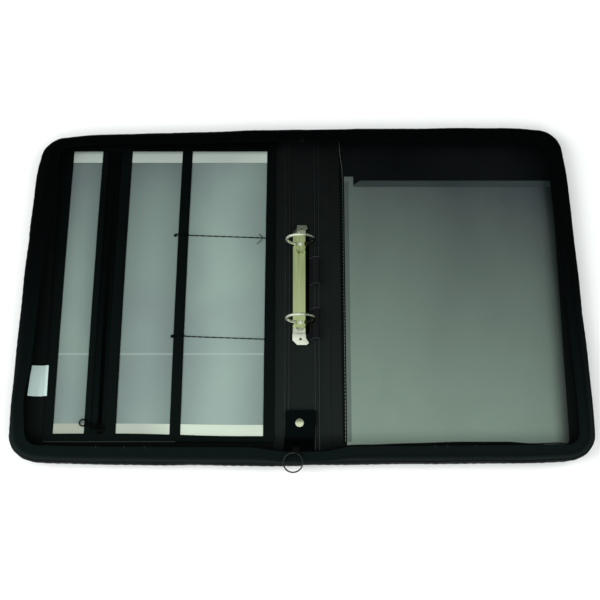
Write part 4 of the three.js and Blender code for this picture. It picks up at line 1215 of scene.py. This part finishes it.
def build_lever(end, way, root, reach, slope, finish, eye_x):
    """A pressed trigger: a plate with cut corners that slopes to its tip, and a heel at the root."""
    plate = bmesh.new()
    outline = [(x, root + way * y) for x, y in TRIGGERS[end]]
    round_edges(plate, raised(plate, outline, LEVER_LOW, LEVER_TOP), 0.25, 2)
    pivot = Matrix.Translation(at(0, root, LEVER_TOP))
    tilt = pivot @ Matrix.Rotation(radians(-way * slope), 4, "X") @ pivot.inverted()
    bmesh.ops.transform(plate, matrix=tilt, verts=plate.verts)
    heel = sorted((root, root + way * 1.4))
    soft_block(plate, (RINGS_X - 3.6, heel[0], 4.6), (RINGS_X + 3.6, heel[1], 7.6), 0.3, 2)
    lever = piece(f"{end}_lever_plate", plate, finish, None, (), sharp=35)
    eye = bmesh.new()
    eye_y = root + way * reach * 0.5
    place = Matrix.Translation(at(eye_x, eye_y, 7.6))
    hole = EYE_RADIUS * MM
    bmesh.ops.create_cone(eye, cap_ends=True, segments=24, radius1=hole, radius2=hole, depth=4 * MM, matrix=place)
    cut_away(lever, eye, 35)
    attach(lever, f"{end}_trigger")
    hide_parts(f"{end}_lever")
    ring = bmesh.new()
    loop = [tilt @ at(eye_x + EYE_RIM * c, eye_y + EYE_RIM * s, LEVER_TOP) for c, s in turned_points(24)]
    tube(ring, loop, 0.22, 8, closed=True)
    piece(f"{end}_lever_eye_rim", ring, NICKEL, f"{end}_trigger", ())


def build_pen_loops():
    half = [(-3.2, 5.35), (-3.35, 7.6), (-3.1, 9.4), (-1.4, 10.25)]
    outline = smooth_line([*half, *((-x, z) for x, z in reversed(half)), (1.6, 5.25), (-1.6, 5.25), half[0]], 44)
    count, middle = len(outline) - 1, 13.4
    for end, low, high in (("head", 6.45, 34.05), ("tail", -48.95, -17.95)):
        places = flat_run(low, high, 1.0, middle, 0)
        steps = len(places) - 1

        def surface(u, v):
            k = round(v * steps)
            sag = 0.25 * sin(pi * k / steps)
            o, h = outline[round(u * count) % count]
            return places[k] + at(o * (1 - 0.02 * sag), 0, h - (sag if h > 8 else 0.0))

        loop = bmesh.new()
        formed(loop, count, steps, surface, (26 * MM, (high - low) * MM), ring=True)
        thick_sheet(loop, 0.5)
        soft_block(loop, (7.2, low, 4.02), (11.2, high, 4.62), 0.2, 1)
        stands_for = (f"{end}_pen_loop",)
        piece(f"{end}_elastic_loop", loop, ELASTIC_CLOTH, "spine", stands_for, turn_out=False)
        rims = bmesh.new()
        for y in (low + 0.25, high - 0.25):
            tube(rims, [at(middle + o, y, h) for o, h in outline], 0.32, 6, up=ALONG, closed=True)
            tube(rims, [at(7.3, y, 4.5), at(9.0, y, 4.6), at(10.4, y, 5.4)], 0.3, 6)
        piece(f"{end}_elastic_rims", rims, ELASTIC_EDGE_HIGHLIGHT, "spine", ())


def build_stud(x, y):
    def middle_at(y):
        return -3.0 + 0.85 * soft_step((y + 150) / 16) + 1.0 * soft_step((y + 136) / 5) + 0.06 * min(y + 150, 0.0)

    def band(points, count):
        """A flat band of vinyl through points of y, height and half width."""
        line = smooth_line(points, count)

        def section(k):
            half = line[k][2]
            right = [(half, 0.1), (half + 0.12, 0.45), (half, 0.78), (half * 0.5, 0.88)]
            return [(-half, 0.1), *right, *((-x, z) for x, z in right[:0:-1])]

        bm = bmesh.new()
        swept(bm, section, [(at(middle_at(y), y, z), ACROSS, UP) for y, z, _ in line])
        return bm

    points = [
        (-150.75, 5.15, 13.8),
        (-148.75, 5.6, 13.7),
        (-145.75, 6.95, 13.5),
        (-141.75, 7.05, 13.5),
        (-132.0, 7.05, 13.9),
        (-125.2, 7.05, 14.3),
        (-120.8, 7.05, 14.3),
        (-118.9, 7.05, 13.6),
        (-118.0, 7.0, 12.0),
    ]
    piece("stud_strap_vinyl", band(points, 60), TAB_VINYL, "stud_strap", ("stud_tab",), sharp=50)
    rows = bmesh.new()
    left = [(-12.0, -143.75), (-12.8, -122.0), (-11.9, -120.4)]
    right = [(11.9, -120.4), (12.8, -122.0), (12.7, -130.0), (12.2, -136.0), (12.0, -143.75)]
    stitched(rows, [at(middle_at(y) + x, y, 7.93) for x, y in left + right], *TAB_STITCH, 0.22)
    stitched(rows, [at(-14.8, -147.1, 7.05), at(8.6, -147.1, 7.05)], *TAB_STITCH, 0.28)
    piece("stud_strap_stitches", rows, THREAD, "stud_strap", ())
    points = [(-158.6, 4.75, 14.4), (-156.2, 4.85, 14.2), (-153.6, 5.0, 14.0), (-151.0, 5.14, 13.8)]
    made = piece("stud_strap_root", band(points, 24), TAB_VINYL)
    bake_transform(made)

    rise = [(0, 7.9), (4.1, 7.9), (4.3, 8.2), (4.2, 8.55), (3.85, 8.85), (3.45, 8.96), (3.15, 8.98)]
    cap = lathe(rise + [(2.7, 9.12), (2, 9.28), (0.9, 9.38), (0, 9.4)], x, y, 56)
    piece("stud_cap_dome", cap, STUD_NICKEL, "stud_strap", ("stud_cap",), sharp=60)
    ring = [(2.8, 5.1), (4.6, 5.1), (4.8, 5.4), (4.8, 6.5), (4.5, 6.7), (3, 6.7), (2.8, 6.4), (2.8, 5.1)]
    piece("stud_socket_ring", lathe(ring, x, y, 40), NICKEL, "stud_strap", ("stud_socket",))
    foot = [(0, 4), (4.6, 4), (4.8, 4.25), (4.5, 4.6), (1.8, 4.75)]
    ball = [(1.5, 5.2), (1.85, 5.8), (1.6, 6.2), (0.8, 6.3), (0, 6.3)]
    piece("stud_post_ball", lathe(foot + ball, x, y, 40), NICKEL, "spine", ("stud_post",))


def build_outer_slider(x, y):
    slider = bmesh.new()
    slider_plate(slider, x, y, 3.3, 2.1, 4.6, 20.3, 21.7)
    slider_plate(slider, x, y, 3.2, 2.0, 4.5, 19.3, 19.95)
    soft_block(slider, (x - 1.0, y + 1.0, 19.8), (x + 1.0, y + 4.0, 20.5), 0.2, 1)
    arch = smooth_line([(-3.9, 21.4), (-3.95, 23.9), (-3.0, 24.9), (2.6, 24.9), (3.9, 23.8), (3.95, 21.4)], 30)
    bar(slider, [at(x, y + a, z) for a, z in arch], 0.9, 1.0, 0.38, Vector((1, 0, 0.001)))
    piece("outer_slider_body", slider, BLACK_LACQUER, "outer_slider", ("outer_zip_slider",))
    ring = bmesh.new()
    turns = enumerate(turned_points(128, 0.6, 2 * tau))
    tube(ring, [at(9 * c, 9 * s - 9, mix(-0.55, 0.55, bounded((k - 40) / 48))) for k, (c, s) in turns], 0.6, 10)
    turn = Matrix.Rotation(radians(20), 4, "X") @ Matrix.Rotation(radians(-17.5), 4, "Z")
    bmesh.ops.transform(ring, matrix=Matrix.Translation(at(x, y - 2.2, 23.3)) @ turn, verts=ring.verts)
    piece("double_split_ring", ring, RING_LACQUER, "split_ring", ("split_ring_puller",))


build_housing()
for ring_end, ring_y in RING_YS.items():
    build_ring(ring_end, ring_y)
for leaf in ("left_leaf", "right_leaf"):
    refinished(leaf, NICKEL)
build_lever("head", 1, 59.25, 8.5, 5.0, HEAD_NICKEL, RINGS_X + 1.2)
build_lever("tail", -1, -43.35, 11.3, 4.0, TAIL_NICKEL, RINGS_X)
build_pen_loops()
build_stud(-2.3, -130.35)
build_outer_slider(-5.7, -159.6)


# Right cover: the clear document pocket and its seam
def pocket_wave(x, y):
    across = (x - POCKET_SIDE) / (POCKET_FORE - POCKET_SIDE)
    along = (y - POCKET_TAIL) / (POCKET_MOUTH - POCKET_TAIL)
    inside = sin(pi * bounded(across)) * sin(pi * bounded(along)) ** 0.6
    return 4.12 + 0.5 * inside + 0.55 * inside * drift(x / 55, y / 70, 4) + 0.12 * drift(x / 18, y / 24, 7)


def tail_waver(x):
    """How the pocket's tail edge strays from a straight line."""
    left = -1.8 * (1 - soft_step((x - 50) / 50))
    middle = 1.45 * soft_step((x - 93) / 60) * (1 - soft_step((x - 190) / 25))
    return left + middle - 1.5 * soft_step((x - 205) / 30)


def build_pocket():
    sheet = bmesh.new()

    def flat(x0, x1, head):
        return lambda u, v: at(mix(x0, x1, u), mix(POCKET_TAIL, head, v))

    formed(sheet, 40, 54, flat(POCKET_EAR, POCKET_FORE, POCKET_MOUTH), (198 * MM, 265 * MM))
    sliced(sheet, at(POCKET_EAR, POCKET_MOUTH - 5), Vector((-5, 7, 0)).normalized(), clear_outer=True)
    for c, s in turned_points(6, 0.0, -pi / 2)[1:-1]:
        corner = at(POCKET_FORE - 6 + 6 * c, POCKET_TAIL + 6 + 6 * s)
        sliced(sheet, corner, Vector((c, s, 0)), clear_outer=True)
    formed(sheet, 3, 55, flat(POCKET_SIDE, POCKET_EAR, POCKET_EAR_TOP), (9 * MM, 270 * MM))
    for vert in sheet.verts:
        x, y = vert.co.x / MM, vert.co.y / MM
        vert.co.z = pocket_wave(x, y) * MM
        vert.co.y += tail_waver(x) * soft_step((-128 - y) / 20) * MM
    thick_sheet(sheet, 0.3)
    piece("document_pocket", sheet, POCKET_VINYL, "right_cover", ("clear_pocket",))

    def hem_surface(u, v):
        y = mix(109.85, 116.35, v)
        x = mix(POCKET_EAR + 0.3 + max(0.0, y - POCKET_MOUTH + 5) * 1.4, POCKET_FORE - 0.4, u)
        return at(x, y, pocket_wave(x, y) + 0.32)

    hem = sheet_of(60, 4, hem_surface, 0.22)
    piece("pocket_mouth_hem", hem, POCKET_HEM, "right_cover", ())

    def weld_surface(u, v):
        x, y = mix(42.2, 46.0, u), mix(-147.25, 115.25, v)
        ridge = 0.16 * abs(sin(pi * y / 1.6)) * sin(pi * u)
        return at(x, y, pocket_wave(x, y) + 0.3 + ridge)

    weld = sheet_of(4, 656, weld_surface, 0.15)
    piece("pocket_knurled_weld", weld, POCKET_WELD, "right_cover", ())

    strip = strip_along((39.8, POCKET_TAIL), (38.6, 148.25), 3.6, LINING_TOP + 0.55, 0.3, 0.08, low=LINING_TOP)
    piece("pocket_side_strip", strip, BINDING_VINYL, "right_cover", ("pocket_seam_strip",))
    rows = bmesh.new()
    stitched(rows, [at(40.6, -147.75, LINING_TOP + 0.68), at(40.4, 118.0, LINING_TOP + 0.68)], 3.4, 3.0, 0.26)
    thread_end = [(40.4, 118.0, 4.68), (39.6, 132.0, 4.68), (38.4, 142.0, 4.68), (37.9, 149.0, 4.6), (37.6, 158.0, 4.4)]
    tube(rows, [at(*p) for p in smooth_line(thread_end, 40)], 0.28, 6)
    piece("pocket_seam_stitches", rows, PALE_THREAD, "right_cover", ())


build_pocket()
refinished("panel_backing", BACKING_CARD)


# Studio
def lamp(name, place, size, power):
    """A soft rectangle of light that faces the folder's middle."""
    data = bpy.data.lights.new(name, "AREA")
    data.shape = "RECTANGLE"
    data.size, data.size_y = size
    data.energy = power
    made = bpy.data.objects.new(name, data)
    bpy.context.scene.collection.objects.link(made)
    made.location = place
    made.rotation_euler = (-Vector(place)).to_track_quat("-Z", "Y").to_euler()
    made.visible_glossy = False


def studio():
    scene = bpy.context.scene
    scene.view_settings.view_transform = "Standard"
    paint = Finish("studio_floor")
    haze = paint.noise(1.5, 2.0)["Fac"]
    paint.plug(Base_Color=paint.two_shades(haze, (930, 930, 930), (950, 950, 950)))
    paint.plug(Roughness=0.9, Specular_IOR_Level=0.1)
    ground = bmesh.new()
    below = Matrix.Translation((0, 0, -0.0004))
    bmesh.ops.create_grid(ground, x_segments=2, y_segments=2, size=6.0, matrix=below)
    piece("studio_floor", ground, paint)

    world = bpy.data.worlds.new("studio_sky")
    world.use_nodes = True
    sky = Nodes(world.node_tree)
    way = sky.add("SeparateXYZ", Vector=sky.add("TexCoord")["Generated"])
    past = sky.maths("SUBTRACT", way["X"], sky.maths("MULTIPLY", way["Z"], 0.709))
    wedge = sky.spread(past, -0.06, 0.1, 1.0, 0.25, "SMOOTHSTEP")
    fall = sky.spread(way["Y"], 0.1, 0.5, 1.3, 0.35)
    strength = sky.maths("MULTIPLY", sky.maths("MULTIPLY", wedge, fall), 0.62)
    sky.fill(world.node_tree.nodes["Background"], {"Color": (930, 1000, 970), "Strength": strength})
    scene.world = world

    lamp("left_softbox", (-1.5, -0.3, 1.5), (1.2, 1.2), 22)
    lamp("right_softbox", (1.6, 0.2, 1.5), (1.2, 1.2), 14)
    lamp("front_softbox", (0.1, -1.5, 1.7), (1.8, 0.8), 16)

    lens = bpy.data.cameras.new("photo_camera")
    lens.sensor_width = 36.0
    lens.lens = 73.44
    camera = bpy.data.objects.new("photo_camera", lens)
    scene.collection.objects.link(camera)
    camera.location = at(-2.0, -374.05, 1128.9)
    camera.rotation_euler = (radians(18), 0, 0)
    scene.camera = camera


studio()
